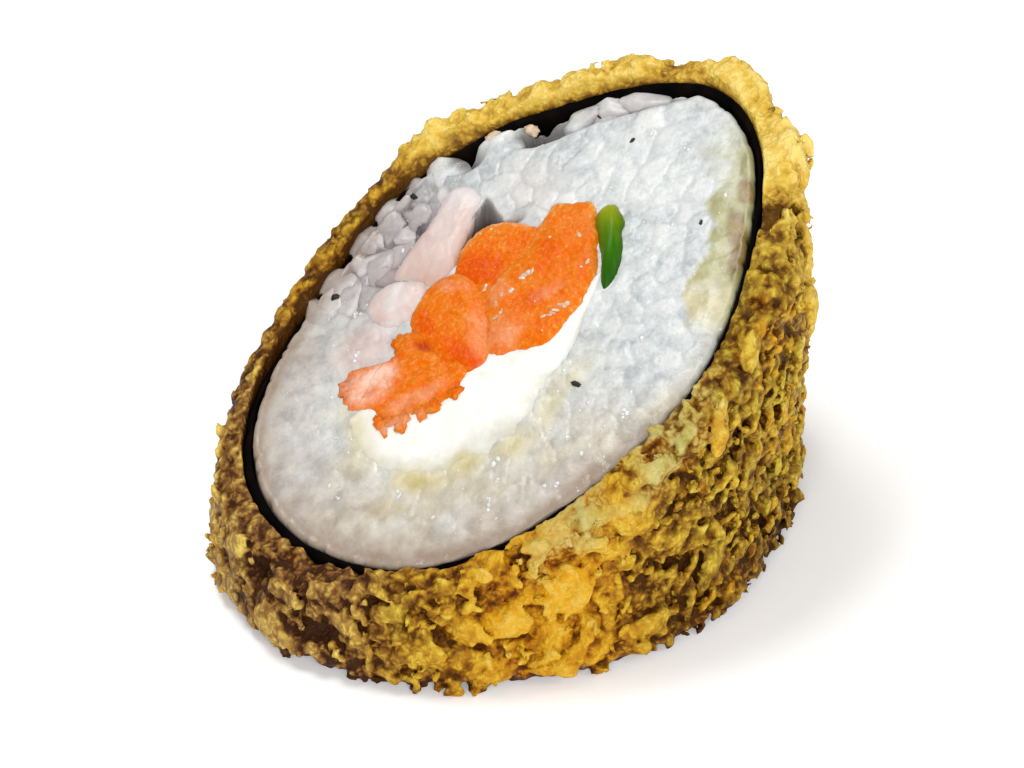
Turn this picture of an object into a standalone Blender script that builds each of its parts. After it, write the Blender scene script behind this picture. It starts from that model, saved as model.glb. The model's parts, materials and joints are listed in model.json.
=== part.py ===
"""One slice of a fried sushi roll, standing on its straight cut with its slanting cut on top.

From the outside in: a fried batter crust, a sheet of nori, rice, and in the rice a filling of
torn salmon, cream cheese, green onion and two pale pink strips. Every layer runs right through
the slice, from the flat base to the slanting cut, with 0.3 mm between neighbours.
Metres, +Z up, origin on the surface it stands on, at the middle of its footprint.
The slanting cut falls towards -X and -Y.
"""

import math

import bmesh
import bpy
from mathutils import Vector, noise

MM = 0.001

# Driving dimensions, in millimetres and degrees
GAP = 0.30                 # clearance between neighbouring layers
WRAP_R = 18.83             # mean radius of the rolled nori, outside
WRAP_LOBES = (             # how the rolled wrap is pressed out of round: waves round it, size, direction
    (2, 2.10, 27.0),
    (3, 0.17, 44.0),
    (4, 0.42, 23.0),
    (5, 0.37, 35.5),
)
NORI_T = 0.50              # thickness of the nori
CRUST_T = 2.30             # mean thickness of the fried crust
CRUST_LUMP = 0.75          # how far its lumps rise and its hollows sink
CRUST_LUMP_SIZE = 3.4      # distance from lump to lump
CRUST_RIM_ROUND = 0.55     # rounding of the crust's rim at the cut
CUT_HEIGHT = 19.15         # height of the slanting cut on the roll's axis
CUT_TILT = 28.7            # angle of that cut from the level
CUT_RISE_DIR = 43.8        # the way the cut rises, from +X towards +Y
AXIS_AT = (0.46, -0.01)    # the roll's axis from the middle of the footprint
RICE_GRAIN_RELIEF = 0.28   # unevenness of the cut rice
WALL_STEPS = 110           # points round the crust and the nori
RICE_STEPS = 100           # points round the rice
RICE_RINGS = 7             # rows of points across it
POCKET_AT = (-2.4, 0.4)    # middle of the pocket that holds the filling

# Where the cut rice is torn out or lies low: centre x, y, reach along, reach across, turn, depth
RICE_HOLLOWS = (
    (-9.5, 11.0, 6.0, 3.2, 38.0, 1.1),
    (-1.3, 9.6, 1.5, 2.0, 10.0, 2.6),
    (-2.8, 15.9, 1.5, 1.2, 0.0, 2.4),
    (3.4, 15.6, 2.4, 1.1, -5.0, 2.2),
    (9.5, 15.2, 6.0, 1.5, -18.0, 1.2),
)

# Filling pieces cut across: centre x, y, half length, half width, turn, squareness, rise above the cut
SALMON = {
    "salmon_back": (-1.05, 6.65, 3.60, 2.40, 8.0, 2.3, 0.6),
    "salmon_right": (3.05, 2.55, 6.20, 3.80, 72.0, 2.5, 0.9),
    "salmon_middle": (-4.00, 1.45, 5.55, 2.95, -61.0, 2.4, 1.0),
    "salmon_left": (-8.60, -1.90, 5.20, 2.65, -30.0, 2.3, 0.3),
}
PALE = {
    "pale_strip_long": (-4.90, 10.00, 4.20, 2.10, 52.0, 2.4, 0.9),
    "pale_strip_short": (-8.90, 5.20, 2.35, 1.75, 12.0, 2.2, 0.6),
}
ONION = (8.20, 3.40, 3.55, 1.00, 87.0, 2.3, 0.8)
ONION_BEND = 0.35          # how far the middle of the onion bows out

# The band of cream cheese: its middle line bends from one end, past a pull point, to the other
CHEESE_LINE = ((-12.0, -3.6), (-5.5, -9.6), (6.4, -2.0))
CHEESE_HALF_WIDTH = 3.1
CHEESE_RISE = 0.3


def wrap_radius(a):
    r = WRAP_R
    for waves, size, direction in WRAP_LOBES:
        r += size * math.cos(waves * (a - math.radians(direction)))
    return r


def cut_height(x, y):
    t = math.radians(CUT_RISE_DIR)
    return CUT_HEIGHT + math.tan(math.radians(CUT_TILT)) * (x * math.cos(t) + y * math.sin(t))


def wobble(x, y, z, size, seed):
    """Smooth unevenness between about -1 and 1, with features of the given size."""
    return noise.noise(Vector((x / size + 17.3 * seed, y / size - 9.1 * seed, z / size)))


def lump(x, y, z, size, seed):
    """Rounded lumps with narrow creases between them, about -1 to 1."""
    d = noise.voronoi(Vector((x / size + 5.7 * seed, y / size, z / size - 3.3 * seed)))[0][0]
    return 1.0 - 2.2 * d


def oval(cx, cy, a, b, turn, power, steps, grow=0.0, bend=0.0, seed=1):
    """Outline of a squarish oval, as points round its centre, its edge a little uneven."""
    t = math.radians(turn)
    loop = []
    for i in range(steps):
        u = 2 * math.pi * i / steps
        c, s = math.cos(u), math.sin(u)
        x = a * math.copysign(abs(c) ** (2 / power), c)
        y = b * math.copysign(abs(s) ** (2 / power), s)
        k = 1 + 0.07 * wobble(c, s, 0.0, 0.55, seed) + 0.04 * wobble(c, s, 0.0, 0.2, seed + 3)
        x, y = x * k, y * k - bend * (x / a) ** 2
        loop.append((x, y))
    if grow:
        out = []
        for i, (x, y) in enumerate(loop):
            px, py = loop[i - 1]
            qx, qy = loop[(i + 1) % steps]
            nx, ny = qy - py, px - qx
            n = math.hypot(nx, ny)
            out.append((x + grow * nx / n, y + grow * ny / n))
        loop = out
    return [
        (cx + x * math.cos(t) - y * math.sin(t), cy + x * math.sin(t) + y * math.cos(t))
        for x, y in loop
    ]


def link_mesh(name, bm, material=None):
    bmesh.ops.recalc_face_normals(bm, faces=bm.faces)
    mesh = bpy.data.meshes.new(name)
    bm.to_mesh(mesh)
    bm.free()
    mesh.shade_smooth()
    mesh.set_sharp_from_angle(angle=math.radians(40))
    ob = bpy.data.objects.new(name, mesh)
    bpy.context.scene.collection.objects.link(ob)
    if material:
        mesh.materials.append(material)
    ob.parent = slice_origin
    return ob


def bridge(bm, low, high):
    """Faces between two closed rows of the same number of points."""
    n = len(low)
    for i in range(n):
        bm.faces.new((low[i], low[(i + 1) % n], high[(i + 1) % n], high[i]))


def row(bm, points):
    return [bm.verts.new((x * MM, y * MM, z * MM)) for x, y, z in points]


def column(name, loop, centre, top, rings, walls=1, material=None, low=0.0):
    """A solid with the loop's outline from the base up to the surface top(x, y, s), where s runs
    from 0 at the centre to 1 at the edge."""
    bm = bmesh.new()
    cx, cy = centre
    rows = []
    base = row(bm, [(x, y, low) for x, y in loop])
    rows.append(base)
    for k in range(1, walls):
        rows.append(row(bm, [(x, y, low + (top(x, y, 1.0) - low) * k / walls) for x, y in loop]))
    for k in range(rings):
        s = 1 - k / rings
        rows.append(
            row(
                bm,
                [
                    (cx + (x - cx) * s, cy + (y - cy) * s, top(cx + (x - cx) * s, cy + (y - cy) * s, s))
                    for x, y in loop
                ],
            )
        )
    for low_row, high_row in zip(rows, rows[1:]):
        bridge(bm, low_row, high_row)
    tip = row(bm, [(cx, cy, top(cx, cy, 0.0))])[0]
    last = rows[-1]
    for i in range(len(last)):
        bm.faces.new((last[i], last[(i + 1) % len(last)], tip))
    bm.faces.new(list(reversed(base)))
    return link_mesh(name, bm, material)


def sleeve(name, sections, material):
    """A closed ring: sections is a list of rows of points, each running once round the roll,
    from the inner base edge up the inside, over the rim, down the outside and back."""
    bm = bmesh.new()
    rows = [row(bm, s) for s in sections]
    for low_row, high_row in zip(rows, rows[1:] + rows[:1]):
        bridge(bm, low_row, high_row)
    return link_mesh(name, bm, material)


def material(name, colour, roughness, subsurface=0.0, coat=0.0):
    m = bpy.data.materials.new(name)
    m.use_nodes = True
    shader = m.node_tree.nodes["Principled BSDF"]
    shader.inputs["Base Color"].default_value = (*colour, 1.0)
    shader.inputs["Roughness"].default_value = roughness
    shader.inputs["Metallic"].default_value = 0.0
    shader.inputs["Subsurface Weight"].default_value = subsurface
    shader.inputs["Subsurface Scale"].default_value = 0.002
    shader.inputs["Coat Weight"].default_value = coat
    m.diffuse_color = (*colour, 1.0)
    return m


def cut_by(target, cutter):
    m = target.modifiers.new("clear_" + cutter.name, "BOOLEAN")
    m.operation = "DIFFERENCE"
    m.solver = "EXACT"
    m.object = cutter


def as_cutter(ob):
    ob.hide_render = True
    ob.display_type = "WIRE"
    return ob


for ob in list(bpy.data.objects):
    bpy.data.objects.remove(ob, do_unlink=True)

slice_origin = bpy.data.objects.new("slice_axis", None)
bpy.context.scene.collection.objects.link(slice_origin)
slice_origin.location = (AXIS_AT[0] * MM, AXIS_AT[1] * MM, 0.0)

crust_look = material("fried_crust", (0.52, 0.30, 0.06), 0.7)
nori_look = material("nori", (0.012, 0.012, 0.012), 0.45)
rice_look = material("rice", (0.76, 0.78, 0.78), 0.45, subsurface=0.4)
cheese_look = material("cream_cheese", (0.90, 0.84, 0.70), 0.5, subsurface=0.4)
salmon_look = material("salmon", (0.88, 0.20, 0.05), 0.3, subsurface=0.3, coat=0.4)
pale_look = material("pale_strip", (0.80, 0.62, 0.58), 0.35, subsurface=0.4)
onion_look = material("green_onion", (0.08, 0.30, 0.02), 0.35)


# Fried crust: inside wall straight, outside wall lumpy, rim rounded where the cut meets it
angles = [2 * math.pi * i / WALL_STEPS for i in range(WALL_STEPS)]


def crust_point(a, z):
    """Radius of the lumpy outside of the crust."""
    r = wrap_radius(a) + CRUST_T
    x, y = r * math.cos(a), r * math.sin(a)
    bump = 0.65 * lump(x, y, z, CRUST_LUMP_SIZE, 1) + 0.7 * wobble(x, y, z, 1.9, 2)
    slow = 0.5 * wobble(x, y, z, 9.0, 4)
    return r + CRUST_LUMP * (bump + slow)


OUTER_ROWS = 8
inside = [(wrap_radius(a) + GAP / 2) for a in angles]
sections = [
    [(r * math.cos(a), r * math.sin(a), 0.0) for a, r in zip(angles, inside)],
    [
        (r * math.cos(a), r * math.sin(a), cut_height(r * math.cos(a), r * math.sin(a)) - 0.1)
        for a, r in zip(angles, inside)
    ],
]
mid_rim = []
for a, r in zip(angles, inside):
    q = r + 0.55 * CRUST_T
    x, y = q * math.cos(a), q * math.sin(a)
    mid_rim.append((x, y, cut_height(x, y) + 0.25 * wobble(x, y, 0.0, 1.6, 6)))
sections.append(mid_rim)
for k in range(OUTER_ROWS, -1, -1):
    ring = []
    for a in angles:
        r = wrap_radius(a) + CRUST_T
        top = cut_height(r * math.cos(a), r * math.sin(a)) - CRUST_RIM_ROUND
        z = top * k / OUTER_ROWS
        q = crust_point(a, z)
        if k == OUTER_ROWS:
            q = 0.5 * q + 0.5 * (wrap_radius(a) + CRUST_T)
        if k == 0:
            q -= 0.35
        ring.append((q * math.cos(a), q * math.sin(a), z))
    sections.append(ring)
crust = sleeve("batter_crust", sections, crust_look)

# Nori: one thin sleeve between crust and rice, its cut edge a little uneven
sections = []
for depth, top in ((GAP / 2 + NORI_T, False), (GAP / 2 + NORI_T, True), (GAP / 2, True), (GAP / 2, False)):
    ring = []
    for a in angles:
        r = wrap_radius(a) - depth
        x, y = r * math.cos(a), r * math.sin(a)
        z = cut_height(x, y) + 0.12 * wobble(x, y, 0.0, 2.2, 8) if top else 0.0
        ring.append((x, y, z))
    sections.append(ring)
nori = sleeve("nori", sections, nori_look)


# The cut face of the rice lies low where grains are torn out of it
def hollow(x, y):
    depth = 0.0
    for cx, cy, along, across, turn, deep in RICE_HOLLOWS:
        t = math.radians(turn)
        u = ((x - cx) * math.cos(t) + (y - cy) * math.sin(t)) / along
        v = (-(x - cx) * math.sin(t) + (y - cy) * math.cos(t)) / across
        d = u * u + v * v
        depth = max(depth, deep * math.exp(-d * d))
    return depth


def rice_top(x, y):
    grain = RICE_GRAIN_RELIEF * lump(x, y, 0.0, 2.6, 9)
    return cut_height(x, y) - 0.25 - hollow(x, y) + grain


# Filling
def domed(rise, size, seed, edge_drop=0.35):
    def top(x, y, s):
        dome = rise * (1 - s * s) - edge_drop * s ** 6
        return cut_height(x, y) + dome + 0.22 * wobble(x, y, 0.0, size, seed)

    return top


def filling(name, spec, look, seed, bend=0.0, steps=32, rings=4):
    cx, cy, a, b, turn, power, rise = spec
    loop = oval(cx, cy, a, b, turn, power, steps, bend=bend, seed=seed)
    body = column(name, loop, (cx, cy), domed(rise, 1.7, seed), rings, material=look)
    wide = oval(cx, cy, a, b, turn, power, steps, grow=GAP, bend=bend, seed=seed)
    high = CUT_HEIGHT + 16.0
    cutter = as_cutter(
        column("room_for_" + name, wide, (cx, cy), lambda x, y, s: high, 1, low=-3.0)
    )
    outlines.append(wide)
    return body, cutter


outlines = []
fillings = []
for n, (name, spec) in enumerate(SALMON.items()):
    fillings.append(filling(name, spec, salmon_look, 21 + n))
fillings.insert(0, filling("green_onion", ONION, onion_look, 31, bend=-ONION_BEND, steps=28, rings=3))
for n, (name, spec) in enumerate(PALE.items()):
    fillings.append(filling(name, spec, pale_look, 41 + n, steps=28, rings=3))


# Cream cheese: a bent band under the salmon
def cheese_point(u, v, grow=0.0):
    (x0, y0), (x1, y1), (x2, y2) = CHEESE_LINE
    e = 0.004 + 0.992 * u
    x = (1 - e) ** 2 * x0 + 2 * e * (1 - e) * x1 + e * e * x2
    y = (1 - e) ** 2 * y0 + 2 * e * (1 - e) * y1 + e * e * y2
    tx = 2 * (1 - e) * (x1 - x0) + 2 * e * (x2 - x1)
    ty = 2 * (1 - e) * (y1 - y0) + 2 * e * (y2 - y1)
    n = math.hypot(tx, ty)
    tx, ty = tx / n, ty / n
    half = CHEESE_HALF_WIDTH * (1 - abs(2 * e - 1) ** 2.6) ** (1 / 2.6)
    half += grow + 0.18 * wobble(x, y, 0.0, 2.4, 51) * (1 if v < 0 else 0.5)
    ends = grow * (2 * e - 1)
    return x - ty * half * v + tx * ends, y + tx * half * v + ty * ends


def band(name, top, across, along, look=None, low=0.0, grow=0.0):
    bm = bmesh.new()
    grid = {}
    for i in range(along + 1):
        for j in range(across + 1):
            x, y = cheese_point(i / along, 2 * j / across - 1, grow)
            grid[i, j] = row(bm, [(x, y, top(x, y, abs(2 * j / across - 1)))])[0]
    for i in range(along):
        for j in range(across):
            bm.faces.new((grid[i, j], grid[i + 1, j], grid[i + 1, j + 1], grid[i, j + 1]))
    rim = [(i, 0) for i in range(along)]
    rim += [(along, j) for j in range(across)]
    rim += [(i, across) for i in range(along, 0, -1)]
    rim += [(0, j) for j in range(across, 0, -1)]
    base = [bm.verts.new((grid[k].co.x, grid[k].co.y, low * MM)) for k in rim]
    for k in range(len(rim)):
        m = (k + 1) % len(rim)
        bm.faces.new((base[k], base[m], grid[rim[m]], grid[rim[k]]))
    bm.faces.new(list(reversed(base)))
    return link_mesh(name, bm, look)


def cheese_top(x, y, s):
    dome = CHEESE_RISE * (1 - s * s)
    return cut_height(x, y) - 0.1 + dome + 0.2 * wobble(x, y, 0.0, 2.5, 53)


cheese = band("cream_cheese", cheese_top, 6, 24, cheese_look)
outlines.append(
    [cheese_point(i / 24, -1.0, GAP) for i in range(25)] + [cheese_point(i / 24, 1.0, GAP) for i in range(24, -1, -1)]
)

# Each piece is cut by the ones that lie firmer than it
for n, (body, _) in enumerate(fillings):
    for _, room in fillings[:n]:
        cut_by(body, room)
for _, room in fillings:
    cut_by(cheese, room)


# Rice: a ring between the nori and a pocket that follows the outlines of the filling
def reach(angle):
    """How far the filling reaches from the middle of the pocket in one direction."""
    dx, dy = math.cos(angle), math.sin(angle)
    far = 0.0
    for loop in outlines:
        for (px, py), (qx, qy) in zip(loop, loop[1:] + loop[:1]):
            px, py, qx, qy = px - POCKET_AT[0], py - POCKET_AT[1], qx - POCKET_AT[0], qy - POCKET_AT[1]
            ex, ey = qx - px, qy - py
            det = dx * ey - dy * ex
            if abs(det) < 1e-9:
                continue
            t = (px * ey - py * ex) / det
            w = (px * dy - py * dx) / det
            if 0.0 <= w <= 1.0 and t > far:
                far = t
    return far


def nori_inside(angle):
    """Distance from the middle of the pocket to the rice's outer edge in one direction."""
    low, high = 1.0, 40.0
    for _ in range(40):
        mid = (low + high) / 2
        x = POCKET_AT[0] + mid * math.cos(angle)
        y = POCKET_AT[1] + mid * math.sin(angle)
        edge = wrap_radius(math.atan2(y, x)) - GAP / 2 - NORI_T - GAP
        edge -= 0.12 * (1 + lump(x, y, 0.0, 3.0, 11))
        low, high = (mid, high) if math.hypot(x, y) < edge else (low, mid)
    return low


fine = [reach(2 * math.pi * i / (4 * RICE_STEPS)) for i in range(4 * RICE_STEPS)]
pocket = [max(fine[(4 * i + k) % len(fine)] for k in range(-4, 5)) for i in range(RICE_STEPS)]
directions = [2 * math.pi * i / RICE_STEPS for i in range(RICE_STEPS)]
outer = [nori_inside(a) for a in directions]


def rice_row(share, top):
    ring = []
    for a, near, far in zip(directions, pocket, outer):
        r = near + (far - near) * share
        x, y = POCKET_AT[0] + r * math.cos(a), POCKET_AT[1] + r * math.sin(a)
        ring.append((x, y, rice_top(x, y) if top else 0.0))
    return ring


sections = [rice_row(0.0, False)]
sections += [rice_row(k / RICE_RINGS, True) for k in range(RICE_RINGS + 1)]
sections.append(rice_row(1.0, False))
rice = sleeve("rice", sections, rice_look)
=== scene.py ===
import json
import math

import bmesh
import bpy
import numpy as np
from mathutils import Matrix, Vector

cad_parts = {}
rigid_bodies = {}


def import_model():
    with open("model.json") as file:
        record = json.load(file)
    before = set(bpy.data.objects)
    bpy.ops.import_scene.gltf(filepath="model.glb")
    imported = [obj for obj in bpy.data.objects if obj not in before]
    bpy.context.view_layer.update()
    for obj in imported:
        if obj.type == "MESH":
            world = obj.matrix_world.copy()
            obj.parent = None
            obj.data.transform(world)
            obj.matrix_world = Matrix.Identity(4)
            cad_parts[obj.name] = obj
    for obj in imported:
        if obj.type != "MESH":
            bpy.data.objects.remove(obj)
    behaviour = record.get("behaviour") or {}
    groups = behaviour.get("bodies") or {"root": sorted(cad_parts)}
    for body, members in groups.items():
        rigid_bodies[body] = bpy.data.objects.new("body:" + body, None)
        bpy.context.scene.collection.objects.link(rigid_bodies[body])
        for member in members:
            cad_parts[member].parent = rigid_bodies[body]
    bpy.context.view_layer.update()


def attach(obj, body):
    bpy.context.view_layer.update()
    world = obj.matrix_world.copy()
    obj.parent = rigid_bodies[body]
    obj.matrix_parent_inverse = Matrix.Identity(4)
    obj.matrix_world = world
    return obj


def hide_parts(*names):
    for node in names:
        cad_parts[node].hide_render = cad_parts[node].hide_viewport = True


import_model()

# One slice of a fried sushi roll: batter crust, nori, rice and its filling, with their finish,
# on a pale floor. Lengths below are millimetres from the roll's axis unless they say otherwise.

MM = 0.001
TAU = 2 * math.pi
AXIS_AT = (0.46, -0.01)

# ---------------------------------------------------------------- the slice's own sizes
GAP = 0.30
WRAP_R = 18.83
WRAP_LOBES = ((2, 2.10, 27.0), (3, 0.17, 44.0), (4, 0.42, 23.0), (5, 0.37, 35.5))
CRUST_T = 2.30
CUT_HEIGHT = 19.15
CUT_TILT = 28.7
CUT_RISE_DIR = 43.8
SLOPE_X = math.tan(math.radians(CUT_TILT)) * math.cos(math.radians(CUT_RISE_DIR))
SLOPE_Y = math.tan(math.radians(CUT_TILT)) * math.sin(math.radians(CUT_RISE_DIR))
LEAN = math.sqrt(1 + SLOPE_X ** 2 + SLOPE_Y ** 2)
FACE_NORMAL = np.array([-SLOPE_X, -SLOPE_Y, 1.0]) / LEAN


def wrap_radius(a):
    r = WRAP_R + 0.0 * a
    for waves, size, direction in WRAP_LOBES:
        r = r + size * np.cos(waves * (a - math.radians(direction)))
    return r


def pressed_in(a):
    """How far the sheet and the rice lie inside the outline: a little at the right."""
    deg = np.degrees(np.arctan2(np.sin(a), np.cos(a)))
    return 0.62 * np.exp(-((deg - 6) / 24) ** 2)


def cut_height(x, y):
    return CUT_HEIGHT + SLOPE_X * x + SLOPE_Y * y


# ---------------------------------------------------------------- noise on arrays
def _hash(ix, iy, iz, seed):
    n = (
        ix.astype(np.uint32) * np.uint32(0x8DA6B343)
        ^ iy.astype(np.uint32) * np.uint32(0xD8163841)
        ^ iz.astype(np.uint32) * np.uint32(0xCB1AB31F)
        ^ np.uint32((seed * 0x9E3779B1) & 0xFFFFFFFF)
    )
    n = n ^ (n >> np.uint32(15))
    n = n * np.uint32(0x2C1B3C6D)
    n = n ^ (n >> np.uint32(12))
    n = n * np.uint32(0x297A2D39)
    return n ^ (n >> np.uint32(15))


def noise3(x, y, z, size, seed=0):
    """Gradient noise between about -1 and 1, with features of the given size."""
    x, y, z = np.broadcast_arrays(np.asarray(x, float), np.asarray(y, float), np.asarray(z, float))
    x, y, z = x / size + 91.7, y / size - 37.3, z / size + 11.9
    fx, fy, fz = np.floor(x), np.floor(y), np.floor(z)
    ix, iy, iz = fx.astype(np.int64), fy.astype(np.int64), fz.astype(np.int64)
    x, y, z = x - fx, y - fy, z - fz
    ux, uy, uz = (t * t * t * (t * (t * 6 - 15) + 10) for t in (x, y, z))
    total = 0.0
    for dx in (0, 1):
        wx = ux if dx else 1 - ux
        for dy in (0, 1):
            wy = uy if dy else 1 - uy
            for dz in (0, 1):
                wz = uz if dz else 1 - uz
                n = _hash(ix + dx, iy + dy, iz + dz, seed)
                gx = (n & np.uint32(1023)) / 511.5 - 1.0
                gy = ((n >> np.uint32(10)) & np.uint32(1023)) / 511.5 - 1.0
                gz = ((n >> np.uint32(20)) & np.uint32(1023)) / 511.5 - 1.0
                total = total + wx * wy * wz * (gx * (x - dx) + gy * (y - dy) + gz * (z - dz))
    return total * 1.35


def fbm(x, y, z, size, seed=0, octaves=3, gain=0.5):
    total, amp, norm = 0.0, 1.0, 0.0
    for k in range(octaves):
        total = total + amp * noise3(x, y, z, size / 2 ** k, seed + 31 * k)
        norm += amp
        amp *= gain
    return total / norm


def smooth(edge0, edge1, x):
    t = np.clip((x - edge0) / (edge1 - edge0), 0.0, 1.0)
    return t * t * (3 - 2 * t)


def blob(x, y, cx, cy, along, across, turn=0.0, power=1.0):
    """1 in the middle of an oval patch, falling off smoothly to 0."""
    t = math.radians(turn)
    u = ((x - cx) * math.cos(t) + (y - cy) * math.sin(t)) / along
    v = (-(x - cx) * math.sin(t) + (y - cy) * math.cos(t)) / across
    return np.exp(-((u * u + v * v) ** power))


def unit(v):
    return v / np.maximum(np.linalg.norm(v, axis=-1, keepdims=True), 1e-12)


# ---------------------------------------------------------------- meshes from arrays
def add_mesh(name, points, faces, look, nodes=(), values=None):
    """A smooth piece from an array of points in millimetres and a list of arrays of faces."""
    me = bpy.data.meshes.new(name)
    p = np.asarray(points, float).reshape(-1, 3).copy()
    p[:, 0] += AXIS_AT[0]
    p[:, 1] += AXIS_AT[1]
    me.vertices.add(len(p))
    me.vertices.foreach_set("co", (p * MM).astype(np.float32).ravel())
    faces = [np.asarray(f, np.int32) for f in (faces if isinstance(faces, list) else [faces]) if len(f)]
    loops = np.concatenate([f.ravel() for f in faces])
    totals = np.concatenate([np.full(len(f), f.shape[1], np.int32) for f in faces])
    starts = np.concatenate([[0], np.cumsum(totals)[:-1]]).astype(np.int32)
    me.loops.add(len(loops))
    me.loops.foreach_set("vertex_index", loops)
    me.polygons.add(len(totals))
    me.polygons.foreach_set("loop_start", starts)
    me.polygons.foreach_set("loop_total", totals)
    me.update(calc_edges=True)
    me.validate()
    me.shade_smooth()
    for key, array in (values or {}).items():
        at = me.attributes.new(key, "FLOAT", "POINT")
        at.data.foreach_set("value", np.asarray(array, np.float32).ravel())
    me.materials.append(look)
    ob = bpy.data.objects.new(name, me)
    bpy.context.scene.collection.objects.link(ob)
    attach(ob, "root")
    if nodes:
        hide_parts(*nodes)
    return ob


def ring_faces(rows, cols, start=0, close_rows=False):
    """Quads of a grid whose columns run all the way round. Row r, column c is r * cols + c."""
    r = np.arange(rows if close_rows else rows - 1)[:, None]
    c = np.arange(cols)[None, :]
    r2, c2 = (r + 1) % rows, (c + 1) % cols
    q = np.stack(np.broadcast_arrays(r * cols + c, r * cols + c2, r2 * cols + c2, r2 * cols + c), -1)
    return q.reshape(-1, 4) + start


def ico(level):
    bm = bmesh.new()
    bmesh.ops.create_icosphere(bm, subdivisions=level, radius=1.0)
    v = np.array([q.co[:] for q in bm.verts])
    f = np.array([[q.index for q in face.verts] for face in bm.faces])
    bm.free()
    return v, f


ICO = {k: ico(k) for k in (2, 3, 4)}


# ---------------------------------------------------------------- node materials
class Look:
    """A node material built on a Principled BSDF."""

    def __init__(self, name):
        self.mat = bpy.data.materials.new(name)
        self.mat.use_nodes = True
        self.tree = self.mat.node_tree
        self.shader = self.tree.nodes["Principled BSDF"]
        self.coords = self.tree.nodes.new("ShaderNodeTexCoord").outputs["Object"]

    def node(self, kind, **props):
        n = self.tree.nodes.new(kind)
        for k, v in props.items():
            setattr(n, k, v)
        return n

    def link(self, a, b):
        self.tree.links.new(a, b)

    def put(self, socket, value):
        if isinstance(value, bpy.types.NodeSocket):
            self.link(value, socket)
        elif isinstance(value, (tuple, list)) and len(value) == 3 and socket.type == "RGBA":
            socket.default_value = (*value, 1.0)
        else:
            socket.default_value = value

    def set(self, **values):
        for k, v in values.items():
            self.put(self.shader.inputs[k.replace("_", " ")], v)

    def value(self, name):
        return self.node("ShaderNodeAttribute", attribute_name=name).outputs["Fac"]

    def math(self, op, a, b=0.0, c=None, clamp=False):
        n = self.node("ShaderNodeMath", operation=op, use_clamp=clamp)
        self.put(n.inputs[0], a)
        self.put(n.inputs[1], b)
        if c is not None:
            self.put(n.inputs[2], c)
        return n.outputs[0]

    def noise(self, size_mm, detail=2.0, rough=0.5, distort=0.0, stretch=None, offset=(0.0, 0.0, 0.0)):
        """Noise between 0 and 1, its features about size_mm."""
        n = self.node("ShaderNodeTexNoise")
        n.inputs["Scale"].default_value = 1000.0 / size_mm
        n.inputs["Detail"].default_value = detail
        n.inputs["Roughness"].default_value = rough
        n.inputs["Distortion"].default_value = distort
        src = self.coords
        if stretch or any(offset):
            m = self.node("ShaderNodeMapping")
            m.inputs["Scale"].default_value = stretch or (1, 1, 1)
            m.inputs["Location"].default_value = offset
            self.link(src, m.inputs["Vector"])
            src = m.outputs[0]
        self.link(src, n.inputs["Vector"])
        return n.outputs["Fac"]

    def cells(self, size_mm, warp_mm=0.0, feature="F1", randomness=1.0):
        """Distance to the nearest of many scattered points, 0 at a point."""
        n = self.node("ShaderNodeTexVoronoi", feature=feature)
        n.inputs["Scale"].default_value = 1000.0 / size_mm
        n.inputs["Randomness"].default_value = randomness
        src = self.coords
        if warp_mm:
            w = self.node("ShaderNodeTexNoise")
            w.inputs["Scale"].default_value = 1000.0 / (1.6 * size_mm)
            w.inputs["Detail"].default_value = 2.0
            self.link(src, w.inputs["Vector"])
            m = self.node("ShaderNodeVectorMath", operation="MULTIPLY_ADD")
            self.link(w.outputs["Color"], m.inputs[0])
            m.inputs[1].default_value = (warp_mm * MM,) * 3
            self.link(src, m.inputs[2])
            src = m.outputs[0]
        self.link(src, n.inputs["Vector"])
        return n.outputs["Distance"]

    def ramp(self, fac, stops, mode="LINEAR"):
        n = self.node("ShaderNodeValToRGB")
        n.color_ramp.interpolation = mode
        el = n.color_ramp.elements
        while len(el) < len(stops):
            el.new(0.5)
        for e, (at, colour) in zip(el, stops):
            e.position = at
            e.color = (*colour, 1.0) if len(colour) == 3 else colour
        self.put(n.inputs["Fac"], fac)
        return n.outputs["Color"]

    def span(self, fac, low, high, to_low=0.0, to_high=1.0):
        n = self.node("ShaderNodeMapRange", clamp=True)
        self.put(n.inputs["Value"], fac)
        n.inputs["From Min"].default_value = low
        n.inputs["From Max"].default_value = high
        n.inputs["To Min"].default_value = to_low
        n.inputs["To Max"].default_value = to_high
        return n.outputs["Result"]

    def mix(self, fac, a, b, kind="MIX"):
        n = self.node("ShaderNodeMix", data_type="RGBA", blend_type=kind)
        n.clamp_factor = True
        self.put(n.inputs[0], fac)
        self.put(n.inputs[6], a)
        self.put(n.inputs[7], b)
        return n.outputs[2]

    def bump(self, height, strength, distance_mm, on=None):
        n = self.node("ShaderNodeBump")
        n.inputs["Strength"].default_value = strength
        n.inputs["Distance"].default_value = distance_mm * MM
        self.link(height, n.inputs["Height"])
        if on is not None:
            self.link(on, n.inputs["Normal"])
        return n.outputs["Normal"]


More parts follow.
